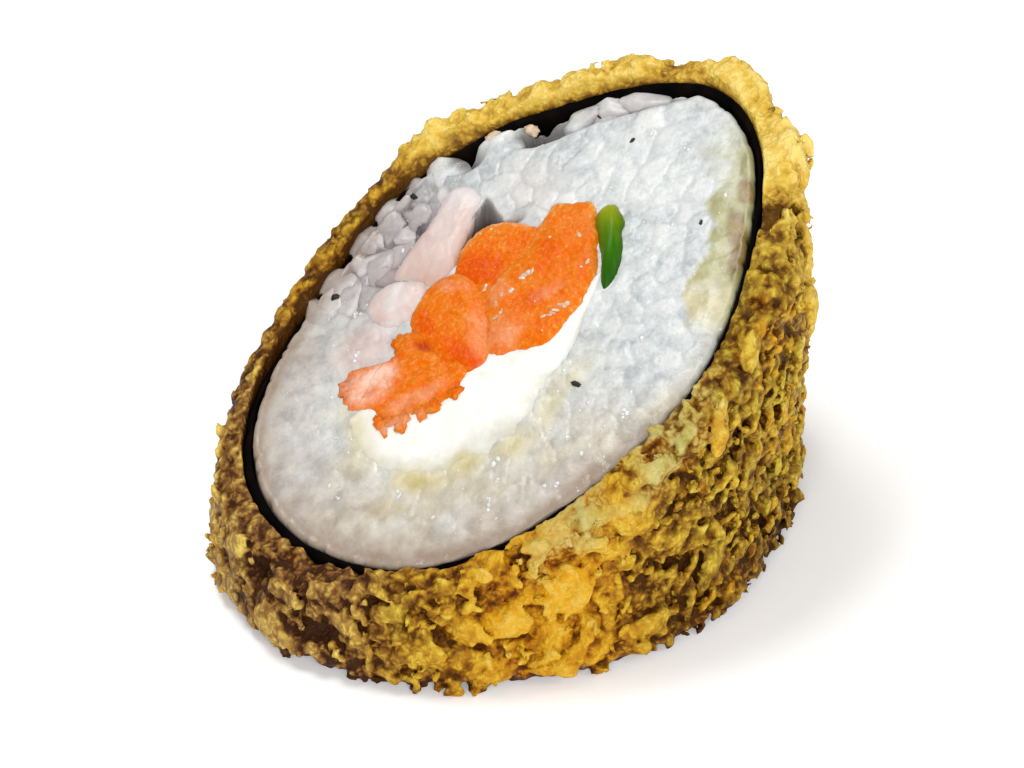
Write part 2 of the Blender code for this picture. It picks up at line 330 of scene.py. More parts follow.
# ---------------------------------------------------------------- a surface drawn round a field
def surface_net(field):
    """Closed surface where the field is 0, negative inside. Axis 0 runs all the way round.
    Returns fractional grid positions, quads and the cell of each point."""
    ni, nj, nk = field.shape
    inside = field < 0

    def corner(array, di, dj, dk):
        array = np.roll(array, -1, 0) if di else array
        return array[:, dj:nj - 1 + dj, dk:nk - 1 + dk]

    steps = [(di, dj, dk) for di in (0, 1) for dj in (0, 1) for dk in (0, 1)]
    count = sum(corner(inside, *s).astype(np.int8) for s in steps)
    active = (count > 0) & (count < 8)
    cell = np.stack(np.nonzero(active), -1)
    at = {s: corner(field, *s)[active] for s in steps}
    total = np.zeros((len(cell), 3))
    hits = np.zeros(len(cell))
    for s in steps:
        for axis in range(3):
            if s[axis]:
                continue
            e = tuple(1 if k == axis else s[k] for k in range(3))
            f0, f1 = at[s], at[e]
            cross = (f0 < 0) != (f1 < 0)
            t = np.where(cross, f0 / np.where(cross, f0 - f1, 1.0), 0.0)
            p = np.zeros((len(cell), 3)) + s
            p[:, axis] += t
            total += p * cross[:, None]
            hits += cross
    place = cell + total / hits[:, None]
    number = np.full(active.shape, -1, np.int64)
    number[active] = np.arange(len(cell))
    quads = []

    def cells_at(i, j, k):
        return number[i % ni, j, k]

    for axis in range(3):
        a = inside
        b = np.roll(inside, -1, 0) if axis == 0 else inside
        if axis == 1:
            a, b = inside[:, :-1], inside[:, 1:]
        if axis == 2:
            a, b = inside[:, :, :-1], inside[:, :, 1:]
        i, j, k = np.nonzero(a != b)
        ok = np.ones(len(i), bool)
        if axis != 1:
            ok &= (j >= 1) & (j <= nj - 2)
        if axis != 2:
            ok &= (k >= 1) & (k <= nk - 2)
        i, j, k = i[ok], j[ok], k[ok]
        if axis == 0:
            q = [cells_at(i, j - 1, k - 1), cells_at(i, j, k - 1), cells_at(i, j, k), cells_at(i, j - 1, k)]
        elif axis == 1:
            q = [cells_at(i - 1, j, k - 1), cells_at(i - 1, j, k), cells_at(i, j, k), cells_at(i, j, k - 1)]
        else:
            q = [cells_at(i - 1, j - 1, k), cells_at(i, j - 1, k), cells_at(i, j, k), cells_at(i - 1, j, k)]
        q = np.stack(q, -1)
        flip = ~a[i, j, k]
        q[flip] = q[flip][:, ::-1]
        quads.append(q)
    quads = np.concatenate(quads)
    return place, quads[(quads >= 0).all(1)], cell


def edges_of(faces):
    pairs = []
    for f in faces:
        for k in range(f.shape[1]):
            pairs.append(np.stack([f[:, k], f[:, (k + 1) % f.shape[1]]], -1))
    e = np.sort(np.concatenate(pairs), 1)
    return np.unique(e, axis=0)


def spread(values, edges, rounds, keep=0.5):
    """Averages values over neighbouring points."""
    values = np.asarray(values, float)
    n = len(values)
    flat = values.reshape(n, -1)
    degree = np.maximum(np.bincount(edges.ravel(), minlength=n), 1)[:, None]
    for _ in range(rounds):
        total = np.stack([
            np.bincount(edges[:, 0], flat[edges[:, 1], c], minlength=n)
            + np.bincount(edges[:, 1], flat[edges[:, 0], c], minlength=n)
            for c in range(flat.shape[1])
        ], -1)
        flat = keep * flat + (1 - keep) * total / degree
    return flat.reshape(values.shape)


def largest_body(count, edges):
    label = np.arange(count)
    while True:
        low = np.minimum(label[edges[:, 0]], label[edges[:, 1]])
        new = label.copy()
        np.minimum.at(new, edges[:, 0], low)
        np.minimum.at(new, edges[:, 1], low)
        new = new[new]
        new = new[new]
        if (new == label).all():
            break
        label = new
    names, sizes = np.unique(label, return_counts=True)
    return label == names[np.argmax(sizes)]


def point_normals(points, faces):
    out = np.zeros_like(points)
    for f in faces:
        p = points[f]
        last = p[:, 3] - p[:, 1] if f.shape[1] == 4 else p[:, 2] - p[:, 1]
        n = np.cross(p[:, 2] - p[:, 0], last) if f.shape[1] == 4 else np.cross(p[:, 1] - p[:, 0], last)
        for k in range(f.shape[1]):
            for c in range(3):
                out[:, c] += np.bincount(f[:, k], n[:, c], minlength=len(points))
    return unit(out)


# ---------------------------------------------------------------- crust
def crust_zones(x, y):
    """How the fried coating differs round the slice: puffed and orange at the front, browned and
    thinly covered at the left, fine and olive at the right."""
    deg = np.degrees(np.arctan2(y, x))
    front = np.exp(-np.abs((deg + 84) / 19) ** 3)
    left = smooth(-112, -130, deg) + smooth(150, 178, deg)
    right = np.exp(-np.abs((deg + 25) / 38) ** 3)
    return front, np.clip(left, 0, 1), right


def low_rim(deg):
    """1 where nori and rice lie lower than the crust's rim: the upper left."""
    return smooth(84, 104, deg) * smooth(182, 160, deg) + 0.6 * smooth(-172, -180, deg)


def flat_tops(n, threshold, width):
    return smooth(threshold - width, threshold + width, n)


# Flakes that stand out: direction round the slice, height, half length, half width, lean, how far
# they stand off, and their colour: 0 golden, 1 orange, -1 pale and greenish
FLAKES = (
    (-41.0, 17.9, 2.7, 0.95, 82.0, 1.35, 0.35),
    (-71.0, 11.2, 1.5, 0.55, -55.0, 0.95, 0.5),
    (-63.0, 13.4, 2.1, 1.9, 30.0, 0.75, 0.3),
    (-80.0, 8.0, 1.9, 2.3, 20.0, 0.80, 1.0),
    (-77.5, 7.2, 1.1, 0.8, 70.0, 1.05, 0.6),
    (-94.0, 6.0, 2.2, 1.5, 10.0, 0.65, 1.0),
    (-62.0, 3.0, 2.0, 1.1, 12.0, 1.00, 0.1),
    (-44.0, 4.9, 2.5, 0.80, 55.0, 0.95, -0.3),
    (-41.0, 7.6, 1.6, 0.50, 100.0, 0.90, 0.0),
    (-111.0, 3.6, 2.0, 1.1, 0.0, 0.95, 0.4),
    (-102.0, 5.6, 1.5, 1.4, 0.0, 0.85, 0.6),
    (-127.0, 4.9, 2.1, 0.75, -28.0, 0.85, -0.1),
    (-143.0, 2.2, 2.1, 1.5, -15.0, 0.95, -0.2),
    (-158.0, 1.9, 1.8, 1.2, -20.0, 0.90, -0.2),
    (-155.0, 6.9, 1.3, 1.0, 40.0, 0.75, 0.0),
    (-143.0, 5.6, 1.0, 0.85, 0.0, 0.70, -0.1),
    (-118.0, 6.8, 1.3, 0.75, 10.0, 0.80, 0.0),
    (-57.0, 16.6, 1.9, 0.8, 20.0, 0.60, 0.0),
    (-71.0, 13.9, 1.5, 0.7, 15.0, 0.55, -0.1),
    (-48.0, 18.8, 1.6, 0.7, 20.0, 0.55, -0.1),
    (-28.0, 22.3, 1.8, 0.9, 60.0, 0.85, 0.0),
    (-14.0, 14.0, 1.9, 1.1, 70.0, 0.80, 0.6),
    (-8.0, 9.0, 1.6, 0.9, 60.0, 0.85, 0.6),
    (-30.0, 11.5, 1.7, 0.6, 60.0, 0.85, -0.2),
    (-52.0, 9.4, 1.6, 0.55, 50.0, 0.80, 0.0),
    (13.0, 28.3, 1.7, 1.4, 60.0, 1.15, 0.3),
    (14.5, 29.8, 1.0, 0.60, 60.0, 1.95, -0.3),
    (9.0, 26.6, 1.2, 0.9, 80.0, 0.95, 0.3),
    (2.0, 23.8, 2.2, 1.3, 70.0, 0.75, 0.4),
    (-6.0, 20.6, 1.8, 1.2, 60.0, 1.60, 0.1),
)
# Bare places where the nori shows through dark: direction, height, half length, half width, depth
BARE = (
    (-149.0, 5.9, 1.3, 0.9, 1.1),
    (-139.0, 8.0, 0.8, 0.6, 0.7),
    (-128.0, 8.5, 0.6, 0.5, 0.7),
    (-160.0, 4.6, 0.8, 0.7, 0.6),
    (-90.0, 11.0, 1.7, 0.9, 0.9),
    (-121.0, 7.3, 1.0, 0.8, 0.9),
    (-30.0, 15.2, 1.3, 0.7, 0.6),
    (-52.0, 6.8, 1.4, 0.5, 0.6),
    (-132.0, 3.4, 2.2, 0.9, 0.5),
    (-100.0, 8.6, 1.5, 0.5, 0.6),
    (3.0, 26.6, 0.9, 1.3, 1.1),
)


def crust_depth(a):
    """Thickness of the coating without its flakes: more at the lower left."""
    deg = np.degrees(np.arctan2(np.sin(a), np.cos(a)))
    return 1.60 + 0.75 * np.exp(-((deg + 143) / 26) ** 2) + 0.30 * np.exp(-((deg - 115) / 45) ** 2)


def flare(deg, z):
    """How much further the coating stands out: low down at the front, and along the right side."""
    low = 1.15 * np.exp(-((deg + 78) / 30) ** 2) + 0.75 * np.exp(-((deg + 132) / 26) ** 2) + 0.35 * np.exp(-((deg + 38) / 18) ** 2)
    side = 1.10 * np.exp(-((deg + 6) / 20) ** 2) * smooth(27.5, 24.5, z) * smooth(9.0, 17.0, z)
    return low * smooth(5.5, 1.6, z) + side


def wall_axes(ang, lean, tilt):
    """Axes of a flake on the wall: along, across and outward."""
    tangent = np.array([-math.sin(ang), math.cos(ang), 0.0])
    outward = np.array([math.cos(ang), math.sin(ang), 0.0])
    up = np.array([0.0, 0.0, 1.0])
    t = math.radians(lean)
    e1 = math.cos(t) * tangent + math.sin(t) * up
    n = unit(outward + tilt[0] * e1 + tilt[1] * np.cross(outward, e1))
    e1 = unit(e1 - n * (e1 @ n))
    return e1, np.cross(n, e1), n


def loose_flakes():
    """All flakes: centre, axes, half sizes, colour. The named ones first, then random ones."""
    rng = np.random.default_rng(77)
    flakes = []
    for deg, z, half, narrow, lean, stand, tone in FLAKES:
        a = math.radians(deg)
        r = float(wrap_radius(np.array(a)) + crust_depth(a) + flare(deg, z)) + GAP / 2
        top = float(cut_height(r * math.cos(a), r * math.sin(a)))
        e1, e2, n = wall_axes(a, lean, rng.normal(0, 0.06, 2))
        c = np.array([r * math.cos(a), r * math.sin(a), min(z, top - 0.3)]) + n * (stand - 0.42)
        flakes.append((a, c, e1, e2, n, half, narrow, 0.50, tone, 1.0))
    for _ in range(4600):
        a = rng.uniform(-math.pi, math.pi)
        r = float(wrap_radius(np.array(a)) + crust_depth(a)) + GAP / 2
        top = float(cut_height(r * math.cos(a), r * math.sin(a)))
        z = rng.uniform(0.2, 31.0)
        q = rng.random(6)
        if z > top or (z > top - 1.6 and math.sin(a) > 0.05 and q[5] < 0.92):
            continue
        r += float(flare(math.degrees(a), z))
        front, left, right = (float(v) for v in crust_zones(np.array(math.cos(a)), np.array(math.sin(a))))
        if q[0] < 0.20 * left or q[0] < 0.55 * front:
            continue
        half = 0.30 + 0.75 * q[1] ** 2.2
        narrow = half * (0.48 + 0.42 * q[2])
        lean = rng.normal(50, 38) if right > 0.25 else rng.uniform(0, 180)
        at_rim = smooth(-2.0, -0.6, z - top) * (0.35 + 0.60 * smooth(-0.2, 0.4, math.sin(a)))
        e1, e2, n = wall_axes(a, lean, rng.normal(0, 0.35, 2) * (1 - at_rim))
        stand = (-0.10 + 0.90 * q[3]) * (1 - at_rim)
        c = np.array([r * math.cos(a), r * math.sin(a), z]) + n * stand
        flakes.append((a, c, e1, e2, n, half, narrow, 0.20 + 0.16 * q[4], 0.9 * (q[5] - 0.5), 0.75 + 0.25 * q[3]))
    return flakes


def oval_distance(p, flake):
    _, c, e1, e2, n, half, narrow, thick, _, _ = flake
    d = p - c
    u, v, w = d @ e1 / half, d @ e2 / narrow, d @ n / thick
    return (np.sqrt(u * u + v * v + w * w + 1e-9) - 1.0) * min(thick * 1.2, narrow)


def build_crust():
    cols, step = 620, 0.205
    a = TAU * np.arange(cols) / cols
    ri = wrap_radius(a) + GAP / 2
    depth = np.arange(-6, 24) * step
    ceiling = float(cut_height((ri + 3) * np.cos(a), (ri + 3) * np.sin(a)).max()) + 1.6
    levels = (np.arange(0, int(ceiling / step) + 2) - 1.5) * step
    ca, sa = np.cos(a)[:, None, None], np.sin(a)[:, None, None]
    rho = ri[:, None, None] + depth[None, None, :] + 0 * levels[None, :, None]
    x, y = rho * ca, rho * sa
    z = levels[None, :, None] + 0 * rho
    body = crust_depth(a)[:, None, None]
    out = depth[None, None, :] - body - flare(np.degrees(np.arctan2(y, x)), z)
    above = (z - cut_height(x, y)) / LEAN
    r = 0.75
    d = np.minimum(np.maximum(out + r, above + r), 0) + np.hypot(np.maximum(out + r, 0), np.maximum(above + r, 0)) - r
    near = (d > -1.0) & (d < 1.9) & (z > -1.0)
    px, py, pz = x[near], y[near], z[near]

    def wander(px, py, pz):
        return np.stack([0.50 * fbm(px, py, pz, 1.4, s, 2) + 0.22 * noise3(px, py, pz, 0.55, s + 30) for s in (3, 4, 5)], -1)

    w = wander(px, py, pz)
    qx, qy, qz = px + w[:, 0], py + w[:, 1], (pz + w[:, 2]) * 0.85
    front, left, right = crust_zones(px, py)
    rim = smooth(-1.2, -0.3, above[near])
    back = smooth(0.0, 8.0, py)
    slow = 0.40 * noise3(px, py, pz, 8.0, 11) + 0.28 * noise3(px, py, pz, 3.4, 12)
    n1, n2, n3 = noise3(qx, qy, qz, 2.3, 15), noise3(qx, qy, qz, 1.15, 16), noise3(qx, qy, qz, 0.62, 17)
    flaky = 0.42 * flat_tops(n1, 0.04, 0.12) + 0.42 * flat_tops(n2, 0.04, 0.13) + 0.26 * flat_tops(n3, 0.05, 0.2)
    sparse = 0.22 * flat_tops(n1, 0.10, 0.16) + 0.42 * flat_tops(n2, 0.14, 0.16) + 0.22 * flat_tops(n3, 0.1, 0.2)
    puffed = 0.62 * np.minimum(np.abs(n1) * 2.6, 1.0) + 0.22 * np.minimum(np.abs(n2) * 2.4, 1.0) + 0.10 * n3
    lift = flaky + left * (sparse - flaky) + front * (puffed - flaky)
    calm = 1 - rim * (0.28 + 0.12 * back)
    lift = (lift + slow - 0.15) * calm + 0.09 * noise3(px, py, pz, 0.5, 19) + 0.15 * rim
    lift = lift - 1.00 * smooth(1.4, 0.0, pz)
    at = np.degrees(np.arctan2(py, px))
    lift = lift + 0.95 * np.exp(-(np.minimum(np.abs(at + 166), 360 - np.abs(at + 166)) / 24) ** 2) * smooth(9.5, 4.0, pz)
    ridge = 0.30 * np.exp(-((at - 63) / 7) ** 2) - 0.50 * np.exp(-((at - 48) / 7) ** 2) + 0.45 * np.exp(-((at - 37) / 5) ** 2)
    ridge = ridge + 0.55 * np.exp(-((at - 106) / 7) ** 2) + 0.45 * np.exp(-((at - 13) / 6) ** 2) - 0.55 * np.exp(-((at - 3) / 4) ** 2) - 0.35 * np.exp(-((at - 24) / 6) ** 2)
    lift = lift + ridge * smooth(-3.4, -1.6, above[near])
    for deg, zc, half, narrow, deep in BARE:
        t = (np.arctan2(py, px) - math.radians(deg)) * 20.5
        lift = lift - deep * blob(t + w[:, 0], pz + w[:, 2], 0, zc, half, narrow, 0, 2.0)
    near_field = d[near] - lift

    column = np.nonzero(near)[0]
    starts = np.searchsorted(column, np.arange(cols + 1))
    moved = np.stack([px, py, pz], -1) + 0.75 * w
    flakes = loose_flakes()
    for flake in flakes:
        mid = int(round(flake[0] / TAU * cols)) % cols
        reach = int((flake[5] + 1.0) / step) + 1
        pieces = []
        lo, hi = mid - reach, mid + reach
        for l, h in ((lo, hi),) if 0 <= lo and hi < cols else ((lo % cols, cols - 1), (0, hi % cols)):
            pieces.append((starts[l], starts[h + 1]))
        for s0, s1 in pieces:
            part = slice(s0, s1)
            ok = np.abs(pz[part] - flake[1][2]) < flake[5] + 1.0
            if not ok.any():
                continue
            q = oval_distance(moved[part][ok], flake)
            old = near_field[part][ok]
            k = 0.12
            h = np.clip(0.5 + 0.5 * (old - q) / k, 0, 1)
            mixed = old + (q - old) * h - k * h * (1 - h)
            block = near_field[part]
            block[ok] = np.minimum(mixed, old)
            near_field[part] = block
    field = d.copy()
    field[near] = near_field
    turn = np.degrees(np.arctan2(y[..., :11], x[..., :11]))
    bulge = np.clip(0.75 * noise3(x[..., :11], y[..., :11], z[..., :11], 1.3, 25) + 0.25, 0, 0.55) * (
        smooth(-1.4, -0.5, above[..., :11]) * smooth(-82, -60, turn) * smooth(-36, -48, turn))
    inner = -depth[None, None, :] + 0 * z
    inner[..., :11] -= bulge
    inner = inner - (pressed_in(a)[:, None, None] - 0.05) * smooth(-3.2, -1.2, above)
    lower_left = low_rim(np.degrees(np.arctan2(y, x))) * smooth(-1.6, 0.1, above)
    inner = inner + (0.25 + 0.9 * np.clip(noise3(x, y, z, 1.7, 26) - 0.12, 0, 0.6)) * lower_left
    field = np.maximum(field, inner)
    field = np.maximum(field, -z)
    place, quads, cell = surface_net(field)

    def world(pl):
        ang = TAU * pl[:, 0] / cols
        rr = wrap_radius(ang) + GAP / 2 + (pl[:, 2] - 6) * step
        return np.stack([rr * np.cos(ang), rr * np.sin(ang), (pl[:, 1] - 1.5) * step], -1)

    keep = largest_body(len(place), edges_of([quads]))
    new = np.cumsum(keep) - 1
    quads = new[quads[keep[quads].all(1)]]
    place, cell = place[keep], cell[keep]
    points = world(place)

    # The hidden inner wall needs few points
    hidden = (cell[:, 2] <= 6) & (points[:, 2] < cut_height(points[:, 0], points[:, 1]) - 1.5) & (points[:, 2] > 0.5)
    key = np.arange(len(points))
    block = (cell[:, 0] // 8) * 4096 + cell[:, 1] // 8
    names, first, inverse = np.unique(block[hidden], return_index=True, return_inverse=True)
    key[hidden] = np.nonzero(hidden)[0][first][inverse]
    centre = np.stack([np.bincount(inverse, points[hidden, c]) / np.bincount(inverse) for c in range(3)], -1)
    points[np.nonzero(hidden)[0][first]] = centre
    quads = key[quads]
    same = [quads[:, k] == quads[:, (k + 1) % 4] for k in range(4)]
    number = sum(s.astype(int) for s in same)
    crossed = (quads[:, 0] == quads[:, 2]) | (quads[:, 1] == quads[:, 3])
    tris = []
    for k in range(4):
        pick = quads[(number == 1) & same[k] & ~crossed]
        tris.append(pick[:, [j for j in range(4) if j != k]])
    tris = np.concatenate(tris)
    quads = quads[(number == 0) & ~crossed]
    used = np.zeros(len(points), bool)
    used[quads.ravel()] = True
    used[tris.ravel()] = True
    new = np.cumsum(used) - 1
    points, quads, tris = points[used], new[quads], new[tris]

    edges = edges_of([quads, tris])
    flat = points[:, 2] < 1e-6
    points = np.where(flat[:, None], points, spread(points, edges, 1, 0.6))
    points[:, 2] = np.maximum(points[:, 2], 0.0)
    ang = np.arctan2(points[:, 1], points[:, 0])
    rho = np.hypot(points[:, 0], points[:, 1])
    out = rho - wrap_radius(ang) - GAP / 2 - crust_depth(ang) - flare(np.degrees(ang), points[:, 2])
    above = (points[:, 2] - cut_height(points[:, 0], points[:, 1])) / LEAN
    level = np.minimum(np.maximum(out + r, above + r), 0) + np.hypot(np.maximum(out + r, 0), np.maximum(above + r, 0)) - r
    # crease, used to paint shade into the coating's hollows: how far a point lies below its neighbourhood
    around = spread(level, edges, 14)
    crease = level - around
    front, left, right = crust_zones(points[:, 0], points[:, 1])
    tone = 0.45 * np.clip(noise3(*points.T, 1.8, 31) * 1.6, -1, 1)
    bright = np.zeros(len(points))
    order = np.argsort(ang)
    sorted_ang = ang[order]
    where = points + 0.75 * wander(*points.T)
    for flake in flakes:
        half_angle = (flake[5] + 0.8) / 19.0
        lo = np.searchsorted(sorted_ang, flake[0] - half_angle)
        hi = np.searchsorted(sorted_ang, flake[0] + half_angle)
        part = order[lo:hi]
        q = oval_distance(where[part], flake)
        touch = smooth(0.12, 0.0, q)
        tone[part] += touch * (flake[8] - tone[part])
        bright[part] = np.maximum(bright[part], touch * flake[9])
    normals = point_normals(points, [quads, tris])
    values = {
        # Painted shade: level makes the coating darker the deeper a point lies in its relief, crease darker in its
        # hollows
        "level": np.clip((level + 0.35) / 1.25, 0, 1),
        "crease": np.clip(0.5 + crease, 0, 1),
        "tone": 0.5 + 0.5 * tone,
        "bright": bright,
        "front": front,
        "left": left,
        "right": right,
        # Painted shade: the inner wall of the coating near the cut is made darker
        "inner": smooth(-1.25, -1.7, out) * smooth(0.0, -0.7, above),
        # The top rim, and most of all the rim at the back, painted lighter and golden: partly its crisp golden colour,
        # partly painted light, as the back rim faces away from the front lamp
        "rim": smooth(-0.7, -0.2, above),
        "gold": smooth(-1.6, -0.9, above) * smooth(-2.0, 6.0, points[:, 1]) * (1 - 0.92 * smooth(104, 122, np.degrees(ang))),
        # Painted shade: darker near the floor, as a contact shadow, and in patches on the wall; one patch at the left
        # is painted lighter
        "low": smooth(1.3, 0.1, points[:, 2]) + 0.55 * blob(np.degrees(ang), points[:, 2], -63.0, 6.3, 8.0, 2.4)
        + 0.55 * blob(np.degrees(ang), points[:, 2], -137.0, 4.6, 13.0, 3.0) - 0.30 * blob(np.degrees(ang), points[:, 2], -172.0, 9.0, 16.0, 5.0)
        + 0.5 * smooth(6.5, 2.0, points[:, 2]) * smooth(-76, -56, np.degrees(ang)) * smooth(10, -5, np.degrees(ang)),
        "pale": smooth(-3.0, -0.6, above) * smooth(-94, -80, np.degrees(ang)) * smooth(-30, -42, np.degrees(ang))
        * (1 - 0.9 * np.exp(-((np.degrees(ang) + 41.5) / 4.5) ** 2) * smooth(20.6, 19.4, points[:, 2])),
        "far": smooth(-16, -4, np.degrees(ang)) * smooth(40, 25, np.degrees(ang)) * smooth(13, 19, points[:, 2]),
    }
    grid = dict(points=points, normals=normals, level=level, values=values, out=out,
                outer=(out > -0.9) & ((above < -1.2) | (points[:, 1] < 0)))
    return points, [quads, tris], values, grid


def crust_look(name):
    k = Look(name)
    fine = k.noise(0.42, 3.0, 0.6)
    mid = k.noise(1.6, 3.0, 0.55)
    broad = k.noise(6.0, 2.0, 0.5)
    bits = k.span(k.cells(0.56, 1.3), 0.12, 0.70, 1.0, 0.0)      # small crumbs, dark joints between
    lumps = k.span(k.cells(1.45, 2.6), 0.15, 0.80, 1.0, 0.0)
    level = k.value("level")
    crease = k.value("crease")
    # Painted shade: darker the deeper a point lies in the coating's relief, and darker in its creases
    v = k.math("ADD", k.math("MULTIPLY", level, 0.40), 0.06)
    v = k.math("ADD", v, k.math("MULTIPLY", k.math("SUBTRACT", crease, 0.5), 0.95))
    v = k.math("ADD", v, k.math("MULTIPLY", k.value("bright"), 0.12))
    v = k.math("ADD", v, k.math("MULTIPLY", k.math("SUBTRACT", fine, 0.5), 0.30))
    v = k.math("ADD", v, k.math("MULTIPLY", k.math("SUBTRACT", mid, 0.5), 0.26))
    v = k.math("ADD", v, k.math("MULTIPLY", k.math("SUBTRACT", bits, 0.62), 0.28))
    v = k.math("ADD", v, k.math("MULTIPLY", k.math("SUBTRACT", lumps, 0.62), 0.24))
    v = k.math("ADD", v, k.math("MULTIPLY", k.value("front"), 0.25))
    # Rim painted lighter, the back rim most: partly its crisp golden colour, partly painted light
    v = k.math("ADD", v, k.math("MULTIPLY", k.value("rim"), 0.06))
    v = k.math("ADD", v, k.math("MULTIPLY", k.value("gold"), 0.32))
    v = k.math("ADD", v, k.math("MULTIPLY", k.value("pale"), 0.06))
    v = k.math("ADD", v, k.math("MULTIPLY", k.value("far"), 0.12))
    v = k.math("ADD", v, 0.035)
    v = k.math("ADD", v, k.math("MULTIPLY", k.value("left"), k.math("SUBTRACT", k.math("MULTIPLY", v, 0.45), 0.10)))
    # Painted shade near the floor and in patches on the wall
    v = k.math("SUBTRACT", v, k.math("MULTIPLY", k.value("low"), 0.30))
    # Painted shade on the inner wall near the cut
    v = k.math("SUBTRACT", v, k.math("MULTIPLY", k.value("inner"), 0.12))
    golden = k.ramp(v, [
        (0.05, (0.060, 0.019, 0.001)), (0.20, (0.175, 0.066, 0.004)), (0.33, (0.310, 0.145, 0.012)),
        (0.48, (0.480, 0.265, 0.018)), (0.66, (0.640, 0.400, 0.036)), (0.92, (0.760, 0.540, 0.110)),
    ])
    orange = k.ramp(v, [
        (0.05, (0.075, 0.018, 0.001)), (0.20, (0.290, 0.088, 0.002)), (0.33, (0.500, 0.210, 0.004)),
        (0.48, (0.590, 0.275, 0.006)), (0.66, (0.650, 0.345, 0.014)), (0.92, (0.680, 0.420, 0.060)),
    ])
    olive = k.ramp(v, [
        (0.05, (0.048, 0.018, 0.001)), (0.20, (0.145, 0.068, 0.005)), (0.33, (0.255, 0.148, 0.014)),
        (0.48, (0.395, 0.262, 0.022)), (0.66, (0.570, 0.420, 0.044)), (0.92, (0.690, 0.560, 0.120)),
    ])
    purple = k.ramp(v, [
        (0.02, (0.045, 0.015, 0.004)), (0.16, (0.130, 0.050, 0.012)), (0.32, (0.240, 0.115, 0.026)),
        (0.48, (0.350, 0.195, 0.044)), (0.66, (0.470, 0.300, 0.080)), (0.92, (0.600, 0.430, 0.150)),
    ])
    crisp = k.ramp(v, [
        (0.15, (0.200, 0.090, 0.014)), (0.36, (0.520, 0.300, 0.038)), (0.56, (0.730, 0.480, 0.070)), (0.90, (0.880, 0.670, 0.200)),
    ])
    tone = k.value("tone")
    hue = k.math("ADD", tone, k.math("MULTIPLY", k.math("SUBTRACT", broad, 0.5), 0.8))
    colour = k.mix(k.span(hue, 0.48, 0.05), golden, olive)
    colour = k.mix(k.math("MULTIPLY", k.value("right"), k.span(hue, 0.75, 0.35)), colour, olive)
    colour = k.mix(k.math("MULTIPLY", k.value("left"), k.span(v, 0.95, 0.55)), colour, purple)
    colour = k.mix(k.span(hue, 0.66, 0.95), colour, orange)
    colour = k.mix(k.math("MULTIPLY", k.value("front"), 0.75), colour, orange)
    # The same back rim made lighter and golden: partly its crisp colour, partly painted light
    colour = k.mix(k.math("MULTIPLY", k.value("gold"), 0.80), colour, crisp)
    colour = k.mix(k.math("MULTIPLY", k.value("far"), 0.45), colour, crisp)
    pale = k.math("MULTIPLY", k.math("MULTIPLY", k.value("pale"), k.span(broad, 0.38, 0.58)), k.span(v, 0.25, 0.55))
    colour = k.mix(k.math("MULTIPLY", pale, 0.72), colour, k.ramp(mid, [(0.35, (0.36, 0.37, 0.12)), (0.65, (0.56, 0.53, 0.23))]))
    grain = k.noise(0.26, 2.0, 0.6)
    height = k.math("ADD", k.math("MULTIPLY", grain, 0.4), k.math("MULTIPLY", fine, 0.5))
    height = k.math("ADD", height, k.math("ADD", k.math("MULTIPLY", bits, 0.9), k.math("MULTIPLY", lumps, 0.9)))
    k.set(
        Base_Color=colour,
        Roughness=k.span(mid, 0.3, 0.7, 0.34, 0.58),
        Specular_IOR_Level=0.08,
        Normal=k.bump(height, 0.75, 0.20),
        Subsurface_Weight=0.08,
        Subsurface_Scale=0.0007,
        Subsurface_Radius=(1.0, 0.45, 0.12),
    )
    return k.mat


def noisy_shape(verts, scale, seed, rough):
    """A small irregular lump: a sphere's points pushed in and out and stretched."""
    r = 1 + rough * noise3(*(verts.T * 1.0), 0.75, seed) + 0.5 * rough * noise3(*(verts.T * 1.0), 0.36, seed + 1)
    return verts * r[:, None] * scale


def build_crumbs(grid, look, count=420):
    """Small loose crumbs that stand on the crust."""
    rng = np.random.default_rng(123)
    verts, tris = ICO[3]
    picks = rng.choice(np.nonzero(grid["outer"])[0], size=count)
    pts, fcs = [], []
    vals = {key: [] for key in grid["values"]}
    for k, q in enumerate(picks):
        c0, nn = grid["points"][q], grid["normals"][q]
        size = 0.14 + 0.24 * rng.random() ** 1.8
        shape = noisy_shape(verts, size * np.array([1.5, 0.85, 0.7]) * rng.uniform(0.8, 1.2, 3), int(rng.integers(1 << 20)), 0.9)
        c = c0 + nn * size * 0.10
        w = shape @ random_turn(rng).T + c
        w[:, 2] = np.maximum(w[:, 2], 0.0)
        pts.append(w)
        fcs.append(tris + k * len(verts))
        rise = np.clip(((w - c) @ nn) / size, -1, 1)
        for key, array in grid["values"].items():
            vals[key].append(np.full(len(w), array[q]))
        # Painted light and shade: each crumb lighter on its outer side and darker underneath
        vals["level"][-1] = np.clip(vals["level"][-1] * 0.8 + 0.14 + 0.06 * rise, 0, 1)
        vals["crease"][-1] = np.clip(0.54 + 0.10 * rise, 0, 1)
        vals["tone"][-1] = np.full(len(w), 0.25 + 0.45 * rng.random())
    return add_mesh(
        "crust_crumbs", np.concatenate(pts), np.concatenate(fcs), look,
        values={k: np.concatenate(v) for k, v in vals.items()},
    )


def random_turn(rng):
    q = rng.normal(size=4)
    q /= np.linalg.norm(q)
    w, x, y, z = q
    return np.array([
        [1 - 2 * (y * y + z * z), 2 * (x * y - z * w), 2 * (x * z + y * w)],
        [2 * (x * y + z * w), 1 - 2 * (x * x + z * z), 2 * (y * z - x * w)],
        [2 * (x * z - y * w), 2 * (y * z + x * w), 1 - 2 * (x * x + y * y)],
    ])


